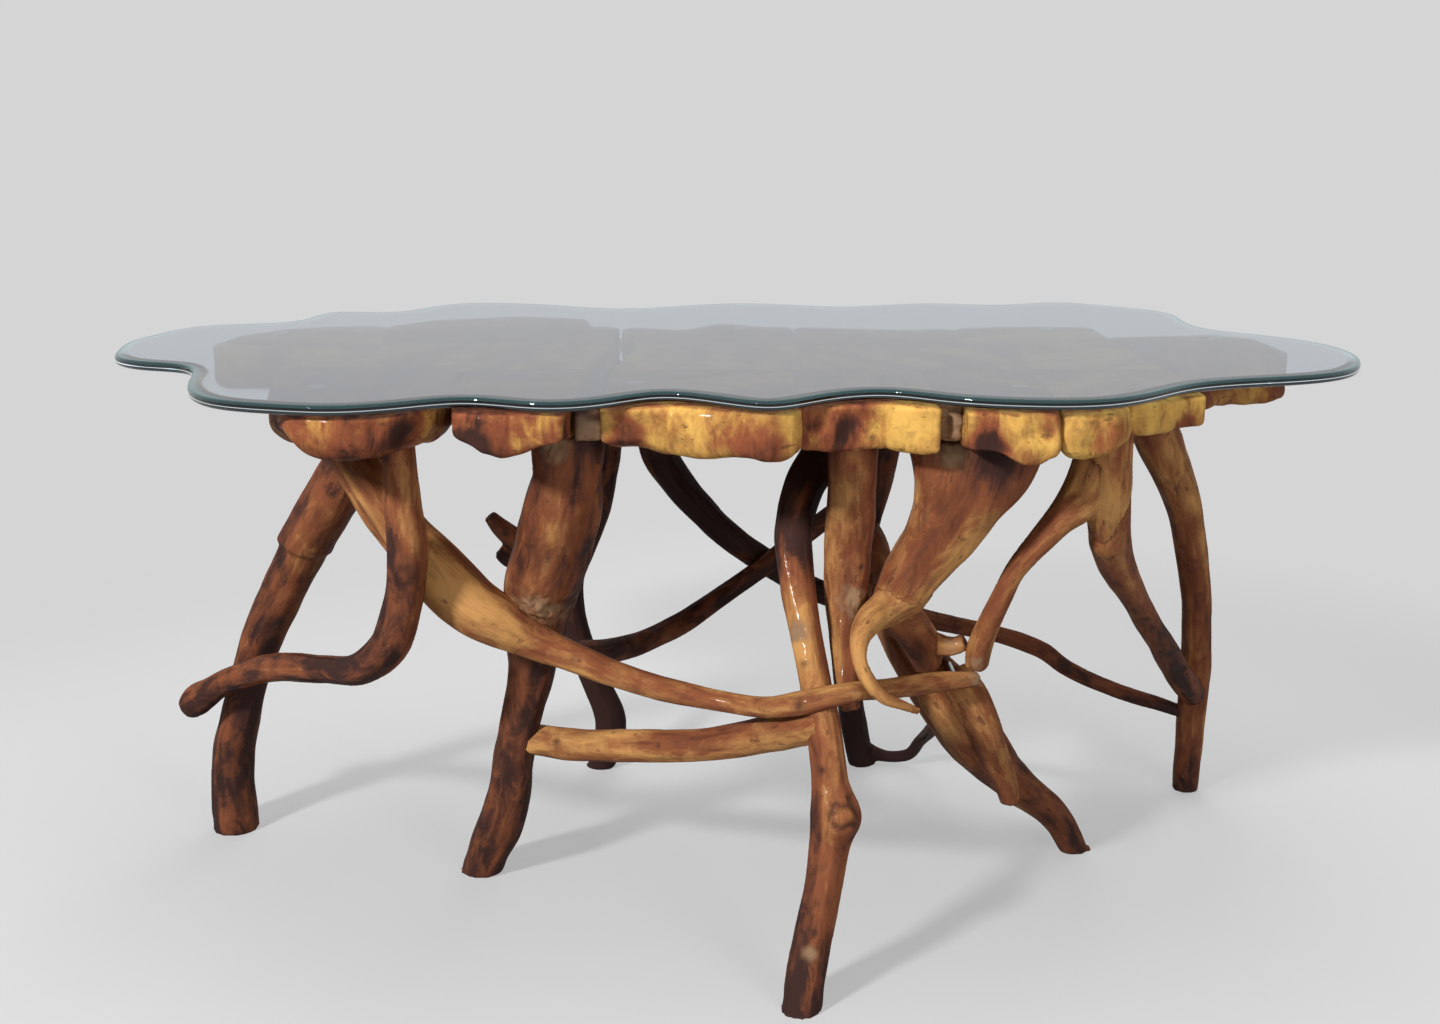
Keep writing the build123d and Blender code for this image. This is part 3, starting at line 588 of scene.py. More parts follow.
def limb_mesh(name, seed, wood):
    """Grow one limb: tubes joined by a remesh, relaxed, then rippled and marked."""
    chains = [smooth_chain(stations) for stations in [LIMBS[name]] + BRANCHES.get(name, [])]
    high = LIMB_TOPS.get(name, NO_SLAB) * MM + SLAB_BITE
    stacks = [tube_rings(chain, 0.0, high) for chain in chains]
    piece = new_object(f"{name}_wood", skin_mesh(name, stacks))
    mesh = remesh(piece, wood.limb_voxel)
    relax(mesh, STEM_ROUNDS if len(chains) == 1 else FORK_ROUNDS)
    points = read_vertices(mesh, "co")
    normals = read_vertices(mesh, "normal")
    grain, radius, owner = grain_frame(points, chains)
    height = limb_ripples(grain, radius, seed, wood.relief)
    marks = LIMB_MARKS.get(name, [])
    marks_height, scar, knot, shade, shift = apply_marks(marks, points, seed)
    above = np.clip((points[:, 2] - FOOT_PLAIN) / FOOT_BLEND, 0.0, 1.0)
    moved = points + normals * (above * (height + marks_height))[:, None] + shift
    moved[:, 2] = np.clip(moved[:, 2], 0.0, high)
    write_points(mesh, moved)
    write_attribute(mesh, "grain", grain + np.array([0.0, 0.0, GRAIN_SHIFT * seed]))
    write_attribute(mesh, "relief", RELIEF_MIDDLE + height / (RELIEF_SPAN * wood.relief))
    write_attribute(mesh, "scar", scar)
    write_attribute(mesh, "knot", knot)
    # Painted shade: darker low down and just under the slabs, on top of the limb's tone and its painted
    # shades.
    low_shade = np.clip(1.0 - points[:, 2] / LOW_SHADE_HEIGHT, 0.0, 1.0) * LOW_SHADE_TONE
    drop = np.clip(high - SLAB_BITE - points[:, 2], 0.0, FAR_BELOW)
    under = UNDER_SLAB_SHADE * np.exp(-drop / UNDER_SLAB_SHADE_REACH)
    tone = np.array(LIMB_TONES[name])[owner] + low_shade + under + shade
    write_attribute(mesh, "tone", even_out(mesh, tone, TONE_BLEND))
    shade_smooth(mesh)
    return piece


class ROOTTABLE_OT_limbs(bpy.types.Operator):
    """Grow the root limbs, with their knots, flutes and scars, in place of the plain ones"""
    bl_idname = "root_table.limbs"
    bl_label = "Root limbs"

    def execute(self, context):
        wood = context.scene.root_table_wood
        material = root_material("limb", wood)
        for seed, name in enumerate(LIMBS):
            piece = limb_mesh(name, seed, wood)
            piece.data.materials.append(material)
            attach(piece, BODY)
            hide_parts(name)
        return {"FINISHED"}


# ---- slabs --------------------------------------------------------------------------------
# How dark each slab is beside its neighbours: 0 is the middle, 1 nearly black, and a number below 0 is
# paler. Mostly the slabs' own colour, but the front filler block, sunk back between two slabs, is
# painted dark as painted shade. The slabs are made in this order.
SLAB_TONES = {
    "front_left_slab": 0.44, "front_lobe_slab": 0.3, "front_filler_block": 0.85,
    "front_middle_slab": 0.16, "front_right_slab": 0.2, "bark_filler_block": 0.6,
    "front_ridge_slab": 0.16, "front_round_slab": 0.02, "front_right_end_slab": 0.04,
    "right_end_slab": 0.38, "left_end_slab": 0.0, "middle_left_slab": 0.05, "back_left_slab": 0.25,
    "centre_slab": -0.1, "back_centre_slab": 0.2, "middle_right_slab": 0.1, "inner_right_slab": -0.2,
    "back_right_slab": 0.2, "back_right_end_slab": -0.05,
}
# Marks on the slabs, in the same way as on the limbs, where the shades are mostly painted shade in the
# recesses and, below 0, painted highlight of a sheen; and the line of each front slab's underside:
# places along the length on the drawing, and how far the underside rises over its lowest level there,
# in millimetres.
SLAB_MARKS = {
    "front_left_slab": [("dent", (-350, -440, 712), 26, 4), ("lump", (-430, -458, 716), 40, 2.5),
        ("knot", (-395, -462, 722), 5, 1), ("shade", (-346, -448, 720), 26, 1.1),
        ("push", (-336, -442, 716), 32, (-14, 8, 4)), ("shade", (-400, -460, 700), 50, 0.22),
        ("shade", (-470, -450, 722), 26, -0.05)],
    "front_lobe_slab": [("lump", (-252, -434, 724), 26, 6), ("dent", (-284, -430, 716), 16, 4),
        ("dent", (-206, -440, 706), 24, 3), ("shade", (-288, -430, 712), 26, 0.85),
        ("shade", (-212, -440, 712), 28, -0.25)],
    "front_middle_slab": [("lump", (-68, -390, 728), 26, 8), ("dent", (-104, -400, 712), 22, 6),
        ("lump", (-28, -404, 704), 34, 5), ("dent", (6, -424, 726), 16, 3.5),
        ("lump", (44, -434, 712), 24, 5), ("dent", (24, -430, 700), 12, 3),
        ("shade", (-128, -396, 706), 34, 0.25), ("shade", (-66, -396, 722), 26, -0.35),
        ("shade", (0, -420, 702), 20, 0.3), ("shade", (64, -436, 724), 16, -0.3),
        ("shade", (44, -436, 706), 28, 0.6)],
    "front_right_slab": [("dent", (98, -392, 722), 9, 6), ("lump", (118, -384, 716), 15, 5),
        ("dent", (140, -378, 724), 14, 4), ("lump", (196, -378, 712), 26, 6),
        ("dent", (172, -372, 720), 10, 3), ("shade", (222, -398, 704), 20, 0.35),
        ("knot", (164, -372, 706), 7, 1.5), ("dent", (226, -398, 726), 14, 3),
        ("shade", (128, -380, 712), 26, 0.8), ("shade", (200, -384, 720), 34, -0.75)],
    "front_ridge_slab": [("lump", (318, -434, 722), 14, 7), ("lump", (336, -436, 704), 13, 8),
        ("dent", (300, -428, 704), 16, 5), ("dent", (350, -434, 722), 12, 5),
        ("shade", (290, -430, 708), 26, 0.85), ("shade", (348, -438, 712), 18, -0.3),
        ("push", (371, -432, 716), 28, (8, -4, 0))],
    "front_round_slab": [("lump", (392, -424, 718), 15, 5), ("dent", (408, -416, 704), 12, 3.5),
        ("shade", (416, -410, 700), 18, 0.3), ("lump", (430, -408, 712), 16, 4),
        ("shade", (380, -426, 712), 12, 0.45), ("push", (375, -428, 716), 28, (-8, -4, 0)),
        ("push", (452, -394, 720), 24, (5, -4, 0))],
    "front_right_end_slab": [("shade", (472, -372, 704), 16, 0.35),
        ("shade", (548, -326, 704), 22, 0.3), ("lump", (490, -362, 722), 26, 5),
        ("push", (460, -388, 720), 26, (-7, -4, 0)), ("dent", (530, -336, 712), 16, 4)],
    "bark_filler_block": [("scar", (254, -384, 716), 34, 6)],
    "front_filler_block": [("scar", (-160, -398, 716), 26, 3)],
    "left_end_slab": [("lump", (-560, 4, 724), 40, 4), ("dent", (-620, 2, 716), 30, 3)],
    "right_end_slab": [("lump", (690, -66, 716), 30, 4), ("dent", (640, -96, 722), 26, 4)],
}
UNDERSIDES = {
    "front_left_slab": [(-500, 40), (-485, 20), (-470, 9), (-452, 2), (-420, 0), (-390, 3), (-368, 9),
        (-352, 24), (-336, 34)],
    "front_lobe_slab": [(-310, 26), (-295, 16), (-276, 4), (-256, 0), (-236, 3), (-215, 8), (-186, 17)],
    "front_middle_slab": [(-146, 16), (-102, 14), (-88, 9), (-70, 1), (-39, 0), (-9, 4), (21, 6),
        (56, 3), (82, 7)],
    "front_right_slab": [(81, 5), (110, 2), (143, 0), (191, 3), (236, 0)],
    "front_ridge_slab": [(268, 17), (310, 9), (334, 1), (344, 2), (354, 9), (371, 12)],
    "front_round_slab": [(371, 12), (386, 4), (402, 0), (425, 3), (446, 14), (470, 20)],
    "front_right_end_slab": [(453, 5), (490, 1), (520, 0), (566, 4)],
}
# The slabs' level top, the band under it that stays plain, and how much the sides swell all
# over, at their corners and in a crisp line along the top edge.
SLAB_TOP = 0.7447
TOP_BAND = 0.005
SEAM_SWELL = 0.0012
CORNER_FILL = 0.0032
TOP_CRISP = 0.0024
TOP_CRISP_DEPTH = 0.0035
# The raised underside fades out behind the front edge: from where, over what depth, and how fast
# it comes in from the top down.
FRONT_KEEP = 0.02
FRONT_FADE = 0.11
RAISE_CURVE = 1.4
# A face is a side where its normal points up by less than the first number, and no side where
# that is more than the sum of both.
SIDE_START = 0.2
SIDE_FADE = 0.6
# Noise on the sides: size of a cell, seed, and share of the relief.
SWELL_CELL = np.array([0.060, 0.060, 0.045])
SWELL_SEED = 300
SWELL_SHARE = 1.2
FLUTE_CELL = np.array([0.016, 0.016, 0.070])
FLUTE_SEED = 340
FLUTE_SHARE = 0.30
# The marks' seed, and how much of their height reaches the flat top.
MARK_SEED = 400
TOP_MARKS = 0.02
# Drying checks: size of a cell, seeds of the checks and of their patches, width, depth, stain.
CHECK_CELL = np.array([0.010, 0.010, 0.5])
CHECK_SEED = 500
PATCH_CELL = 0.09
PATCH_SEED = 520
PATCH_START = 0.25
CHECK_WIDTH = 0.05
CHECK_DEPTH = 0.0008
CHECK_STAIN = 0.8
# How far each slab's grain is turned and shifted from the last one's.
SLAB_TURN = 1.7
SLAB_SHIFT = 0.37


def shape_underside(name, points):
    """Raise a front slab's underside along its line, most at the front edge."""
    if name not in UNDERSIDES:
        return points
    places, rises = np.array(UNDERSIDES[name], float).T
    rise = np.interp(points[:, 0], (places - DRAWN_MIDDLE[0]) * MM, rises * MM)
    floor = points[:, 2].min()
    share = np.clip((SLAB_TOP - points[:, 2]) / (SLAB_TOP - floor), 0.0, 1.0)
    behind = points[:, 1] - points[:, 1].min() - FRONT_KEEP
    moved = points.copy()
    moved[:, 2] += rise * share ** RAISE_CURVE * np.clip(1.0 - behind / FRONT_FADE, 0.0, 1.0)
    return moved


def slab_mesh(name, seed, wood):
    """Shape one slab from its plain solid: underside, swollen sides, marks and checks."""
    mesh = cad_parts[name].data.copy()
    mesh.materials.clear()
    piece = new_object(f"{name}_wood", mesh)
    mesh = remesh(piece, wood.slab_voxel)
    relax(mesh, 1)
    points = shape_underside(name, read_vertices(mesh, "co"))
    write_points(mesh, points)
    normals = read_vertices(mesh, "normal")
    depth = SLAB_TOP - points[:, 2]
    side = 1.0 - np.clip((normals[:, 2] - SIDE_START) / SIDE_FADE, 0.0, 1.0)
    low = np.clip(depth / TOP_BAND, 0.0, 1.0)
    swell = layered_noise(points / SWELL_CELL, SWELL_SEED + seed, 3)
    flutes = lattice_noise(points / FLUTE_CELL, FLUTE_SEED + seed)
    height = wood.relief * side * low * (SWELL_SHARE * swell + FLUTE_SHARE * flutes)
    corner = 2.0 * np.abs(normals[:, 0] * normals[:, 1])
    height += (SEAM_SWELL + CORNER_FILL * corner) * side * low
    marks = SLAB_MARKS.get(name, [])
    marks_height, scar, knot, shade, shift = apply_marks(marks, points, MARK_SEED + seed)
    height += marks_height * np.maximum(side * low, TOP_MARKS)
    checks = layered_noise(points / CHECK_CELL, CHECK_SEED + seed, 2)
    patches = layered_noise(points / PATCH_CELL, PATCH_SEED + seed, 1)
    crack = np.exp(-(checks / CHECK_WIDTH) ** 2) * np.clip(patches - PATCH_START, 0.0, 1.0)
    height -= CHECK_DEPTH * crack
    moved = points + normals * height[:, None] + shift
    crisp = TOP_CRISP * np.exp(-(np.clip(depth, 0.0, 1.0) / TOP_CRISP_DEPTH) ** 2)
    moved += normals * (1.0, 1.0, 0.0) * crisp[:, None]
    moved[:, 2] = np.minimum(moved[:, 2], SLAB_TOP)
    write_points(mesh, moved)
    write_attribute(mesh, "relief", RELIEF_MIDDLE + height / (RELIEF_SPAN * wood.relief))
    write_attribute(mesh, "scar", scar)
    write_attribute(mesh, "knot", np.maximum(knot, CHECK_STAIN * crack))
    # The tone carries the slab's tone and shades, partly painted shade and painted highlight.
    write_attribute(mesh, "tone", SLAB_TONES[name] + shade)
    turn = SLAB_TURN * seed
    spin = np.array([[np.cos(turn), np.sin(turn), 0], [-np.sin(turn), np.cos(turn), 0],
                     [0, 0, 1]])
    write_attribute(mesh, "grain", points @ spin.T + SLAB_SHIFT * seed)
    shade_smooth(mesh)
    return piece


class ROOTTABLE_OT_slabs(bpy.types.Operator):
    """Shape the sawn and polished root slabs in place of the plain ones"""
    bl_idname = "root_table.slabs"
    bl_label = "Root slabs"

    def execute(self, context):
        wood = context.scene.root_table_wood
        material = root_material("slab", wood)
        for seed, name in enumerate(SLAB_TONES):
            piece = slab_mesh(name, seed, wood)
            piece.data.materials.append(material)
            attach(piece, BODY)
            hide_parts(name)
        return {"FINISHED"}


# ---- glass top ----------------------------------------------------------------------------
GLASS_OUTLINE = [
    (825, -60), (808, 35), (752, 112), (705, 165), (692, 270), (684, 385), (636, 440), (545, 504),
    (440, 470), (335, 490), (250, 463), (188, 446), (118, 464), (36, 490), (-50, 468), (-135, 426),
    (-195, 424), (-268, 461), (-338, 490), (-434, 489), (-482, 430), (-525, 375), (-570, 374),
    (-612, 374), (-638, 310), (-660, 252), (-712, 228), (-770, 205), (-812, 118), (-825, 40),
    (-815, -40), (-795, -104), (-748, -150), (-690, -176), (-664, -212), (-648, -268), (-622, -360),
    (-572, -430), (-500, -462), (-432, -474), (-360, -447), (-300, -419), (-205, -450), (-150, -434),
    (-75, -380), (-10, -413), (45, -444), (102, -402), (178, -366), (250, -408), (330, -436),
    (415, -432), (480, -388), (545, -324), (612, -290), (700, -262), (762, -222), (806, -150),
]
GLASS_TOP_Z = 0.760
GLASS_BOTTOM_Z = 0.748
# Points of the line between two points of the outline, and what keeps it inside the plain glass.
GLASS_SPANS = 10
GLASS_TRIM = 0.9998
EDGE_ROUND = 0.004
EDGE_STEPS = 5
RIM_WIDTH = 0.022
# The rounded rim on top is teal and the edge below it black, but for a thin painted highlight line:
# heights over the underside, and how much of the line there is.
BEVEL_RIM = 0.70
BEVEL_START = 0.0003
HIGHLIGHT_LINE_BAND = [(0.0045, 0.0), (0.0048, 1.0), (0.0053, 1.0), (0.0056, 0.0)]


def closed_spline(points, spans):
    """A smooth closed line through points, the same one that the glass was cut to."""
    gaps = np.linalg.norm(np.roll(points, -1, axis=0) - points, axis=1)
    before = np.roll(gaps, 1)
    count = len(points)
    matrix = np.zeros((count, count))
    rise = (np.roll(points, -1, axis=0) - points) / gaps[:, None]
    right = 6.0 * (rise - np.roll(rise, 1, axis=0))
    for index in range(count):
        matrix[index, index - 1] += before[index]
        matrix[index, index] += 2.0 * (before[index] + gaps[index])
        matrix[index, (index + 1) % count] += gaps[index]
    bend = np.linalg.solve(matrix, right)
    line = []
    for index in range(count):
        after = (index + 1) % count
        for t in np.linspace(0.0, 1.0, spans, endpoint=False):
            near, far, gap = 1.0 - t, t, gaps[index]
            line.append(near * points[index] + far * points[after]
                        + gap**2 / 6.0 * ((near**3 - near) * bend[index]
                                          + (far**3 - far) * bend[after]))
    return np.array(line)


def glass_profile():
    """Rings of the edge from the underside round to the top: inset, height, rim and painted highlight
    line.
    """
    turns = np.linspace(0.0, np.pi / 2, EDGE_STEPS)
    low = [(EDGE_ROUND * (1 - np.sin(t)), EDGE_ROUND * (1 - np.cos(t))) for t in turns]
    rings = [(RIM_WIDTH, GLASS_BOTTOM_Z, 0.0, 0.0)]
    rings += [(inset, GLASS_BOTTOM_Z + rise, 1.0, 0.0) for inset, rise in low]
    rings += [(0.0, GLASS_BOTTOM_Z + rise, 1.0, highlight_line) for rise, highlight_line in HIGHLIGHT_LINE_BAND]
    rings += [(inset, GLASS_TOP_Z - rise, BEVEL_RIM if inset > BEVEL_START else 1.0, 0.0)
              for inset, rise in reversed(low)]
    return rings + [(RIM_WIDTH, GLASS_TOP_Z, 0.0, 0.0)]


def glass_mesh():
    """The glass as one closed skin, with the bands of its edge marked for the material."""
    outline = closed_spline(at([(x, y, 0.0) for x, y in GLASS_OUTLINE]), GLASS_SPANS)[:, :2]
    outline *= GLASS_TRIM
    ahead = np.roll(outline, -1, axis=0) - np.roll(outline, 1, axis=0)
    ahead /= np.linalg.norm(ahead, axis=1)[:, None]
    inward = np.column_stack([-ahead[:, 1], ahead[:, 0]])
    profile = glass_profile()
    rings = [[(x, y, height) for x, y in outline + inset * inward]
             for inset, height, _, _ in profile]
    mesh = skin_mesh("glass_top", [rings])
    for name, column in (("rim", 2), ("highlight_line", 3)):
        bands = [ring[column] for ring in profile]
        write_attribute(mesh, name, np.repeat(bands, len(outline)))
    shade_smooth(mesh)
    return mesh


class ROOTTABLE_OT_glass(bpy.types.Operator):
    """Lay the free-form glass top with its polished edge"""
    bl_idname = "root_table.glass"
    bl_label = "Glass top"

    def execute(self, context):
        piece = new_object("glass_plate", glass_mesh())
        piece.data.materials.append(glass_material(context.scene.root_table_glass))
        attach(piece, GLASS_BODY)
        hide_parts("glass_top")
        return {"FINISHED"}


# ---- pads and fixings ---------------------------------------------------------------------
class ROOTTABLE_OT_fixings(bpy.types.Operator):
    """Finish the clear pads, the plugs, the screws and the hidden dowels"""
    bl_idname = "root_table.fixings"
    bl_label = "Pads and fixings"

    def execute(self, context):
        wood = context.scene.root_table_wood
        finishes = {
            "glass_pads": pad_material(), "screw_plugs": plug_material(wood),
            "limb_screws": screw_material(), "slab_dowels": dowel_material(),
            "limb_dowels": dowel_material(),
        }
        for node, material in finishes.items():
            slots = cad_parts[node].data.materials
            if not slots:
                slots.append(material)
            for index in range(len(slots)):
                slots[index] = material
        return {"FINISHED"}


# ---- materials ----------------------------------------------------------------------------
COLOUR = "NodeSocketColor"
NUMBER = "NodeSocketFloat"
VECTOR = "NodeSocketVector"


class NodeBench:
    """One node tree, and the few kinds of node that the finishes are made of."""

    def __init__(self, tree):
        self.tree = tree

    def add(self, kind, inputs=None, **values):
        """Add a node, set it up, and set or link its inputs."""
        node = self.tree.nodes.new(kind)
        for key, value in values.items():
            setattr(node, key, value)
        for socket, source in (inputs or {}).items():
            self.feed(node.inputs[socket], source)
        return node

    def feed(self, target, source):
        """Set a socket to a value, or link it to another socket."""
        if isinstance(source, bpy.types.NodeSocket):
            self.tree.links.new(source, target)
        else:
            target.default_value = source

    def noise(self, vector, scale, detail=4.0, rough=0.55, twist=0.0):
        return self.add("ShaderNodeTexNoise", {
            "Vector": vector, "Scale": scale, "Detail": detail, "Roughness": rough,
            "Distortion": twist}, noise_dimensions="3D").outputs["Fac"]

    def spread(self, value, low, high, to_low=0.0, to_high=1.0):
        return self.add("ShaderNodeMapRange", {
            "Value": value, "From Min": low, "From Max": high, "To Min": to_low,
            "To Max": to_high}, interpolation_type="SMOOTHSTEP").outputs["Result"]

    def stretch(self, vector, scale):
        return self.add("ShaderNodeVectorMath", {0: vector, 1: scale},
                        operation="MULTIPLY").outputs["Vector"]

    def sum_of(self, operation, first, second):
        return self.add("ShaderNodeMath", {0: first, 1: second},
                        operation=operation).outputs["Value"]

    def plus(self, first, second):
        return self.sum_of("ADD", first, second)

    def times(self, first, second):
        return self.sum_of("MULTIPLY", first, second)

    def blend(self, factor, first, second):
        node = self.add("ShaderNodeMix", {"Factor": factor}, data_type="RGBA")
        colours = [socket for socket in node.inputs if socket.type == "RGBA"]
        for socket, source in zip(colours, (first, second)):
            self.feed(socket, source)
        return next(socket for socket in node.outputs if socket.type == "RGBA")

    def attribute(self, name, part="Fac"):
        return self.add("ShaderNodeAttribute", attribute_name=name).outputs[part]

    def place(self):
        return self.add("ShaderNodeTexCoord").outputs["Object"]

    def bump(self, shader, height, distance):
        node = self.add("ShaderNodeBump", {"Height": height, "Distance": distance})
        self.feed(shader.inputs["Normal"], node.outputs["Normal"])


def solid(colour):
    """A colour with full alpha, as a socket wants it."""
    return (*colour, 1.0)


# Noises in the wood: scale, detail, roughness and twist. The clouds' scale is the material's.
CLOUD = (3.0, 0.5, 0.5)
STREAK = (60.0, 6.0, 0.62, 1.2)
FIBRE = (260.0, 4.0, 0.6, 0.3)
FLECK = (95.0, 3.0, 0.6, 0.0)
FLECK_STRETCH = (1.0, 1.0, 3.0)
MOTTLE = (46.0, 6.0, 0.66, 0.6)
MOTTLE_STRETCH = (1.0, 1.0, 0.45)
# The shade, from dark to light: the ranges of relief and cloud that move it and their shares,
# how far both reach and where that starts, the mottle's range, and how far tone lowers it.
# High relief is painted paler, partly as worn ridges and partly as painted highlight, and low relief
# darker as painted shade.
RIDGE_RANGE = (0.30, 0.80)
RIDGE_SHARE = 0.35
CLOUD_RANGE = (0.32, 0.68)
CLOUD_SHARE = 0.65
PATTERN_REACH = 0.85
PATTERN_FLOOR = 0.33
MOTTLE_RANGE = (0.32, 0.66, -0.17, 0.17)
TONE_REACH = 0.95
DARK_TO_BODY = (0.0, 0.5)
BODY_TO_LIGHT = (0.45, 1.15)
# What is laid over the shade: the range of each noise or mask, and how much of it shows.
STREAK_RANGE = (0.50, 0.72)
# Glints are painted highlights along the streaks, strongest where the shade is pale.
GLINT_RANGE = (0.46, 0.28)
GLINT_SHADES = (0.15, 0.75, 0.0, 0.50)
FIBRE_RANGE = (0.45, 0.75)
FIBRE_SHARE = 0.22
# Hollows are darkened as painted shade where the relief is low.
HOLLOW_SHADE_RANGE = (0.40, 0.05)
HOLLOW_SHADE_SHARE = 0.45
SPECK_RANGE = (0.63, 0.70)
SPECK_SHARE = 0.55
KNOT_SHARE = 0.92
BARK_RANGE = (0.52, 0.72)
# Roughness of the varnish over the streaks, and what a scar adds to it.
GLOSS_RANGE = (0.3, 0.8, 0.28, 0.44)
SCAR_DULL = 0.35
# How high each noise stands in the bump.
STREAK_RISE = -0.7
FIBRE_RISE = -0.25
MOTTLE_RISE = 1.6
SCAR_RISE = 3.0
# Varnish over the wood: roughness, coat, its roughness, and no gloss under it.
VARNISH = (0.3, 0.09, 0.10, 0.0)


def figured_wood_group():
    """Varnished root wood: streaks along the grain, cloudy stain, painted shade in the hollows, painted
    glints and paler ridges, and dull scars.
    """
    group = bpy.data.node_groups.new("figured_wood", "ShaderNodeTree")
    sockets = {
        "INPUT": [("Grain", VECTOR), ("Stretch", VECTOR), ("Relief", NUMBER), ("Scar", NUMBER),
                  ("Knot", NUMBER), ("Tone", NUMBER), ("Light", COLOUR), ("Body", COLOUR),
                  ("Dark", COLOUR), ("Scar Colour", COLOUR), ("Streaks", NUMBER),
                  ("Clouds", NUMBER)],
        "OUTPUT": [("Colour", COLOUR), ("Roughness", NUMBER), ("Height", NUMBER)],
    }
    for side, labels in sockets.items():
        for label, kind in labels:
            group.interface.new_socket(label, in_out=side, socket_type=kind)
    bench = NodeBench(group)
    taken = bench.add("NodeGroupInput").outputs
    result = bench.add("NodeGroupOutput").inputs
    along = bench.stretch(taken["Grain"], taken["Stretch"])
    cloud = bench.noise(along, taken["Clouds"], *CLOUD)
    streak = bench.noise(along, *STREAK)
    fibre = bench.noise(along, *FIBRE)
    fleck = bench.noise(bench.stretch(along, FLECK_STRETCH), *FLECK)
    mottle = bench.noise(bench.stretch(taken["Grain"], MOTTLE_STRETCH), *MOTTLE)
    # Paler where the relief is high: partly worn ridges, partly painted highlight.
    pattern = bench.plus(
        bench.times(bench.spread(cloud, *CLOUD_RANGE), CLOUD_SHARE),
        bench.times(bench.spread(taken["Relief"], *RIDGE_RANGE), RIDGE_SHARE))
    light = bench.plus(bench.times(pattern, PATTERN_REACH), PATTERN_FLOOR)
    light = bench.plus(light, bench.spread(mottle, *MOTTLE_RANGE))
    shade = bench.sum_of("SUBTRACT", light, bench.times(taken["Tone"], TONE_REACH))
    colour = bench.blend(bench.spread(shade, *DARK_TO_BODY), taken["Dark"], taken["Body"])
    overlays = [
        (bench.spread(shade, *BODY_TO_LIGHT), "Light"),
        (bench.times(bench.spread(streak, *STREAK_RANGE), taken["Streaks"]), "Dark"),
        # Painted highlight: glints along the streaks.
        (bench.times(bench.spread(streak, *GLINT_RANGE), bench.spread(shade, *GLINT_SHADES)),
         "Light"),
        (bench.times(bench.spread(fibre, *FIBRE_RANGE), FIBRE_SHARE), "Dark"),
        # Painted shade in the hollows.
        (bench.times(bench.spread(taken["Relief"], *HOLLOW_SHADE_RANGE), HOLLOW_SHADE_SHARE), "Dark"),
        (bench.times(bench.spread(fleck, *SPECK_RANGE), SPECK_SHARE), "Dark"),
        (bench.times(taken["Knot"], KNOT_SHARE), "Dark"),
    ]
    for mask, stain in overlays:
        colour = bench.blend(mask, colour, taken[stain])
    bark = bench.blend(bench.spread(fleck, *BARK_RANGE), taken["Scar Colour"], taken["Body"])
    bench.feed(result["Colour"], bench.blend(taken["Scar"], colour, bark))
    gloss = bench.spread(streak, *GLOSS_RANGE)
    bench.feed(result["Roughness"], bench.plus(gloss, bench.times(taken["Scar"], SCAR_DULL)))
    rise = bench.plus(bench.times(streak, STREAK_RISE), bench.times(fibre, FIBRE_RISE))
    rise = bench.plus(rise, bench.times(mottle, MOTTLE_RISE))
    torn = bench.times(bench.times(fleck, taken["Scar"]), SCAR_RISE)
    bench.feed(result["Height"], bench.plus(rise, torn))
    return group


def new_material(name, base, roughness, coat=0.0, coat_roughness=0.1, gloss=0.5):
    material = bpy.data.materials.new(name)
    material.use_nodes = True
    shader = material.node_tree.nodes["Principled BSDF"]
    shader.inputs["Base Color"].default_value = solid(base)
    shader.inputs["Roughness"].default_value = roughness
    shader.inputs["Coat Weight"].default_value = coat
    shader.inputs["Coat Roughness"].default_value = coat_roughness
    shader.inputs["Specular IOR Level"].default_value = gloss
    return material, NodeBench(material.node_tree), shader


# For limbs and slabs: stretch of the grain, streaks, scale of the clouds, and height of the bump.
FIGURES = {
    "limb": ((1.0, 1.0, 0.14), 0.42, 15.0, 0.0007),
    "slab": ((1.0, 0.35, 0.6), 0.44, 15.0, 0.0006),
}


def root_material(part, wood):
    """The varnished wood of the limbs or the slabs, in their own colours."""
    grain_stretch, streaks, clouds, rise = FIGURES[part]
    light, body, dark = [getattr(wood, f"{part}_{shade}") for shade in ("light", "body", "dark")]
    material, bench, shader = new_material(f"root_{part}", body, *VARNISH)
    group = bpy.data.node_groups.get("figured_wood") or figured_wood_group()
    figure = bench.add("ShaderNodeGroup", node_tree=group)
    given = {
        "Grain": bench.attribute("grain", "Vector"), "Relief": bench.attribute("relief"),
        "Scar": bench.attribute("scar"), "Knot": bench.attribute("knot"),
        "Tone": bench.attribute("tone"), "Stretch": grain_stretch, "Streaks": streaks,
        "Clouds": clouds, "Light": solid(light), "Body": solid(body), "Dark": solid(dark),
        "Scar Colour": solid(wood.scar),
    }
    for socket, source in given.items():
        bench.feed(figure.inputs[socket], source)
    bench.feed(shader.inputs["Base Color"], figure.outputs["Colour"])
    bench.feed(shader.inputs["Roughness"], figure.outputs["Roughness"])
    bench.bump(shader, figure.outputs["Height"], rise)
    return material


# Polish of the glass, its faint blue coat, and where in the rim's mask the teal and the black begin and
# where the teal has a painted glow.
GLASS_POLISH = 0.015
GLASS_IOR = 1.5
GLASS_COAT = 0.10
GLASS_COAT_POLISH = 0.02
GLASS_COAT_TINT = (0.90, 0.94, 1.0, 1.0)
TEAL_RANGE = (0.35, 0.60)
BLACK_RANGE = (0.80, 0.95)
GLOW_RANGE = (0.35, 0.66)
GLOW_END = (0.95, 0.78)
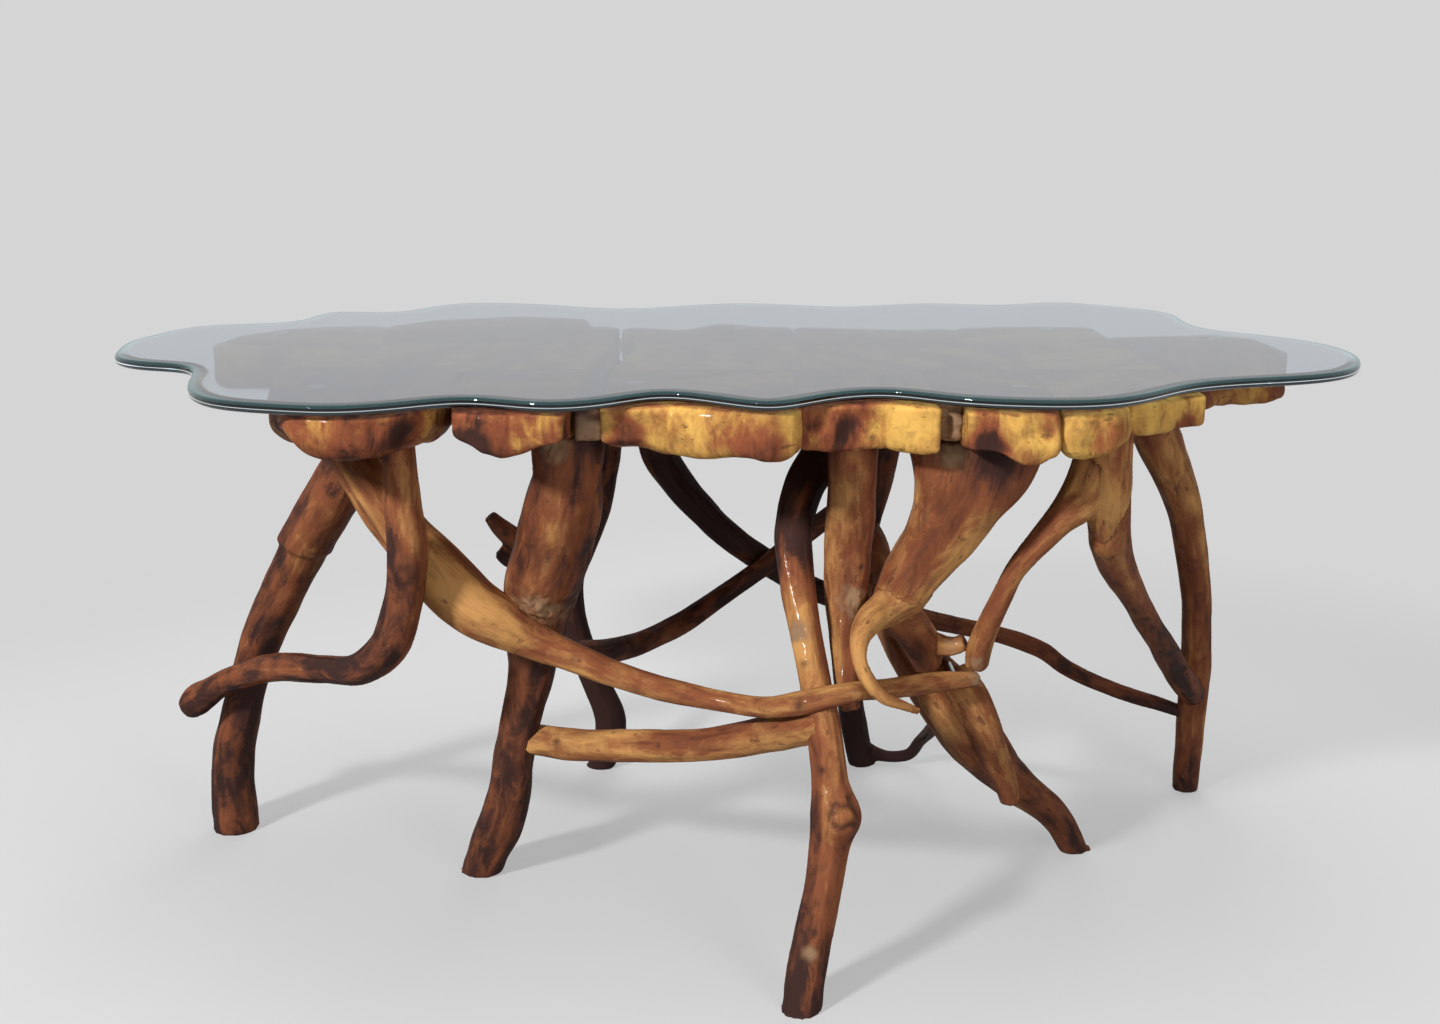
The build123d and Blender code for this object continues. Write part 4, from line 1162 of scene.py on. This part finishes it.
# The painted highlight line along the polished edge of the glass, and the painted glow of the rim and
# of that line, given as emission though the glass is no lamp.
HIGHLIGHT_LINE_COLOUR = (0.95, 0.98, 1.0, 1.0)
NO_GLOW = (0.0, 0.0, 0.0, 1.0)
RIM_GLOW = (0.018, 0.058, 0.062, 1.0)
HIGHLIGHT_LINE_GLOW = (0.62, 0.68, 0.70, 1.0)


def glass_material(glass):
    material, bench, shader = new_material("glass", glass.tint, GLASS_POLISH, GLASS_COAT,
                                           GLASS_COAT_POLISH)
    shader.inputs["Transmission Weight"].default_value = 1.0
    shader.inputs["IOR"].default_value = GLASS_IOR
    shader.inputs["Coat Tint"].default_value = GLASS_COAT_TINT
    # The glass is given emission: a painted teal glow on the rim and a painted highlight line along the
    # edge.
    shader.inputs["Emission Strength"].default_value = 1.0
    rim = bench.attribute("rim")
    highlight_line = bench.attribute("highlight_line")
    colour = bench.blend(bench.spread(rim, *TEAL_RANGE), solid(glass.tint), solid(glass.bevel))
    colour = bench.blend(bench.spread(rim, *BLACK_RANGE), colour, solid(glass.edge))
    bench.feed(shader.inputs["Base Color"], bench.blend(highlight_line, colour, HIGHLIGHT_LINE_COLOUR))
    # Painted glow of the rim, and of the highlight line.
    bevel = bench.times(bench.spread(rim, *GLOW_RANGE), bench.spread(rim, *GLOW_END))
    painted_glow = bench.blend(bevel, NO_GLOW, RIM_GLOW)
    bench.feed(shader.inputs["Emission Color"], bench.blend(highlight_line, painted_glow, HIGHLIGHT_LINE_GLOW))
    return material


# Plain finishes: colour, roughness and coat, noise, its two colours, and the bump's height.
PAD = ((0.80, 0.82, 0.82), (0.35,), (320.0, 2.0), [(0.72, 0.75, 0.75), (0.88, 0.90, 0.90)],
       0.0002)
PAD_CLEAR = 0.8
DOWEL = ((0.66, 0.47, 0.27), (0.6,), (400.0, 4.0), [(0.50, 0.33, 0.17), (0.74, 0.56, 0.34)],
         0.0003)
DOWEL_STRETCH = (0.15, 1.0, 1.0)
PLUG_SATIN = (0.55, 0.2)
PLUG_RINGS = (120.0, 5.0, 0.6, 0.8)
PLUG_BUMP = 0.0005
PLUG_STRETCH = (3.0, 3.0, 0.6)
PLUG_RANGE = (0.35, 0.7)
# Steel screws: colour and roughness, the scratches' stretch and noise, and their roughness.
STEEL = ((0.55, 0.55, 0.56), 0.35)
SCRATCH_STRETCH = (1.0, 1.0, 12.0)
SCRATCHES = (300.0, 3.0)
SCRATCH_RANGE = (0.3, 0.7, 0.25, 0.5)


def grained_material(name, base, finish, grain, colours, rise, stretch=None, reach=None):
    """A plain finish whose one noise blends two colours and stands out in the bump."""
    material, bench, shader = new_material(name, base, *finish)
    place = bench.place()
    pattern = bench.noise(bench.stretch(place, stretch) if stretch else place, *grain)
    mask = bench.spread(pattern, *reach) if reach else pattern
    bench.feed(shader.inputs["Base Color"], bench.blend(mask, *map(solid, colours)))
    bench.bump(shader, pattern, rise)
    return material, shader


def pad_material():
    material, shader = grained_material("clear_pad", *PAD)
    shader.inputs["Transmission Weight"].default_value = PAD_CLEAR
    return material


def plug_material(wood):
    return grained_material("plug_wood", wood.scar, PLUG_SATIN, PLUG_RINGS,
                            [wood.scar, wood.limb_body], PLUG_BUMP, PLUG_STRETCH, PLUG_RANGE)[0]


def dowel_material():
    return grained_material("dowel_wood", *DOWEL, DOWEL_STRETCH)[0]


def screw_material():
    material, bench, shader = new_material("screw_steel", *STEEL)
    shader.inputs["Metallic"].default_value = 1.0
    scratch = bench.noise(bench.stretch(bench.place(), SCRATCH_STRETCH), *SCRATCHES)
    bench.feed(shader.inputs["Roughness"], bench.spread(scratch, *SCRATCH_RANGE))
    return material


# ---- stage --------------------------------------------------------------------------------
CAMERA_PLACE = (-0.011, -2.287, 1.080)
CAMERA_TILT = radians(76.3)
SENSOR_WIDTH = 36.0
CLIP_START = 0.01
# Half the floor's side, where it begins and ends to fade into the backdrop, how much it glows
# before that, its roughness, and its colour to the eye and to the light that bounces off it.
FLOOR_REACH = 14.0
FLOOR_FADE = (1.3, 2.4)
FLOOR_GLOW = 0.55
FLOOR_ROUGHNESS = 0.9
LIT_FLOOR = (0.56, 0.56, 0.56, 1.0)
DIM_FLOOR = (0.25, 0.25, 0.25, 1.0)
# Strength of the light from all around.
WORLD_FILL = 0.24
# Lamps: place, what it is aimed at, width and height in metres, share of the key light's power,
# whether gloss shows it, and whether glass does.
LAMPS = {
    "key_light": ((-2.5, -3.2, 2.8), (0.1, -0.2, 0.5), (0.48, 0.36), 1.0, True, True),
    "top_light": ((0.2, 0.2, 3.4), (0, 0, 0.5), (3.0, 2.4), 0.40, False, True),
    "fill_light": ((1.5, -2.6, 1.3), (0.3, -0.1, 0.5), (0.9, 0.9), 0.13, False, False),
    "back_light": ((0.6, 3.4, 1.4), (0, 0, 0.4), (2.0, 1.2), 0.16, False, False),
}


def straight_rays(bench):
    """Mask of the rays that see the surroundings directly or through gloss and glass."""
    path = bench.add("ShaderNodeLightPath").outputs
    mirrored = bench.sum_of("MAXIMUM", path["Is Glossy Ray"], path["Is Transmission Ray"])
    seen = bench.sum_of("MAXIMUM", path["Is Camera Ray"], mirrored)
    return bench.times(seen, bench.spread(path["Diffuse Depth"], 0.0, 1.0, 1.0, 0.0))


def floor_material(colour):
    """A pale floor that fades into the backdrop away from the table."""
    material, bench, shader = new_material("stage_floor", colour, FLOOR_ROUGHNESS)
    reach = bench.add("ShaderNodeVectorMath", {0: bench.place()}, operation="LENGTH")
    away = bench.spread(reach.outputs["Value"], *FLOOR_FADE)
    seen = straight_rays(bench)
    bench.feed(shader.inputs["Base Color"], bench.blend(seen, DIM_FLOOR, LIT_FLOOR))
    plain = bench.add("ShaderNodeEmission", {"Color": solid(colour)})
    mix = bench.add("ShaderNodeMixShader", {
        0: bench.times(seen, bench.spread(away, 0.0, 1.0, FLOOR_GLOW, 1.0)),
        1: shader.outputs["BSDF"], 2: plain.outputs["Emission"]})
    bench.feed(bench.tree.nodes["Material Output"].inputs["Surface"], mix.outputs["Shader"])
    return material


def light_world(colour):
    """Surroundings that light the table dimly and look like the backdrop."""
    world = bpy.data.worlds.new("studio")
    bpy.context.scene.world = world
    world.use_nodes = True
    world.node_tree.nodes.clear()
    bench = NodeBench(world.node_tree)
    glow = bench.spread(straight_rays(bench), 0.0, 1.0, WORLD_FILL, 1.0)
    background = bench.add("ShaderNodeBackground", {"Color": solid(colour), "Strength": glow})
    bench.add("ShaderNodeOutputWorld", {"Surface": background.outputs["Background"]})


def hang_lamp(name, place, target, size, power):
    lamp = bpy.data.lights.new(name, "AREA")
    lamp.shape = "RECTANGLE"
    lamp.size, lamp.size_y = size
    lamp.energy = power
    holder = new_object(name, lamp)
    holder.location = place
    aim = Vector(target) - Vector(place)
    holder.rotation_euler = aim.to_track_quat("-Z", "Y").to_euler()
    return holder


class ROOTTABLE_OT_stage(bpy.types.Operator):
    """Set up the pale floor, the soft lights and the camera"""
    bl_idname = "root_table.stage"
    bl_label = "Stage"

    def execute(self, context):
        stage = context.scene.root_table_stage
        floor = bpy.data.meshes.new("stage_floor")
        corners = [(-FLOOR_REACH, -FLOOR_REACH, 0), (FLOOR_REACH, -FLOOR_REACH, 0),
                   (FLOOR_REACH, FLOOR_REACH, 0), (-FLOOR_REACH, FLOOR_REACH, 0)]
        floor.from_pydata(corners, [], [(0, 1, 2, 3)])
        floor.materials.append(floor_material(stage.backdrop))
        new_object("stage_floor", floor)
        light_world(stage.backdrop)
        for name, (place, target, size, share, gloss, glass) in LAMPS.items():
            lamp = hang_lamp(name, place, target, size, share * stage.key_power)
            lamp.visible_glossy = gloss
            lamp.visible_transmission = glass
        lens = bpy.data.cameras.new("camera")
        lens.lens = stage.lens
        lens.sensor_width = SENSOR_WIDTH
        lens.clip_start = CLIP_START
        camera = new_object("camera", lens)
        camera.location = CAMERA_PLACE
        camera.rotation_euler = (CAMERA_TILT, 0.0, 0.0)
        context.scene.camera = camera
        context.scene.view_settings.view_transform = "Standard"
        return {"FINISHED"}


# ---- panel and registration ---------------------------------------------------------------
SETTINGS = {
    "root_table_wood": RootTableWood, "root_table_glass": RootTableGlass,
    "root_table_stage": RootTableStage,
}
STEPS = ("root_table.slabs", "root_table.limbs", "root_table.fixings", "root_table.glass",
         "root_table.stage")


class ROOTTABLE_PT_panel(bpy.types.Panel):
    """Sizes, colours and steps of the root table"""
    bl_idname = "ROOTTABLE_PT_panel"
    bl_label = "Root Table"
    bl_space_type = "VIEW_3D"
    bl_region_type = "UI"
    bl_category = "Root Table"

    def draw(self, context):
        for name, kind in SETTINGS.items():
            box = self.layout.box()
            for key in kind.__annotations__:
                box.prop(getattr(context.scene, name), key)
        for step in STEPS:
            self.layout.operator(step)


CLASSES = (
    *SETTINGS.values(), ROOTTABLE_OT_slabs, ROOTTABLE_OT_limbs, ROOTTABLE_OT_fixings,
    ROOTTABLE_OT_glass, ROOTTABLE_OT_stage, ROOTTABLE_PT_panel,
)


def register():
    for kind in CLASSES:
        bpy.utils.register_class(kind)
    for name, kind in SETTINGS.items():
        setattr(bpy.types.Scene, name, bpy.props.PointerProperty(type=kind))


def unregister():
    for name in SETTINGS:
        delattr(bpy.types.Scene, name)
    for kind in reversed(CLASSES):
        bpy.utils.unregister_class(kind)


def main():
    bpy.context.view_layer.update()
    register()
    bpy.ops.root_table.slabs()
    bpy.ops.root_table.limbs()
    bpy.ops.root_table.fixings()
    bpy.ops.root_table.glass()
    bpy.ops.root_table.stage()


if __name__ == "__main__":
    main()
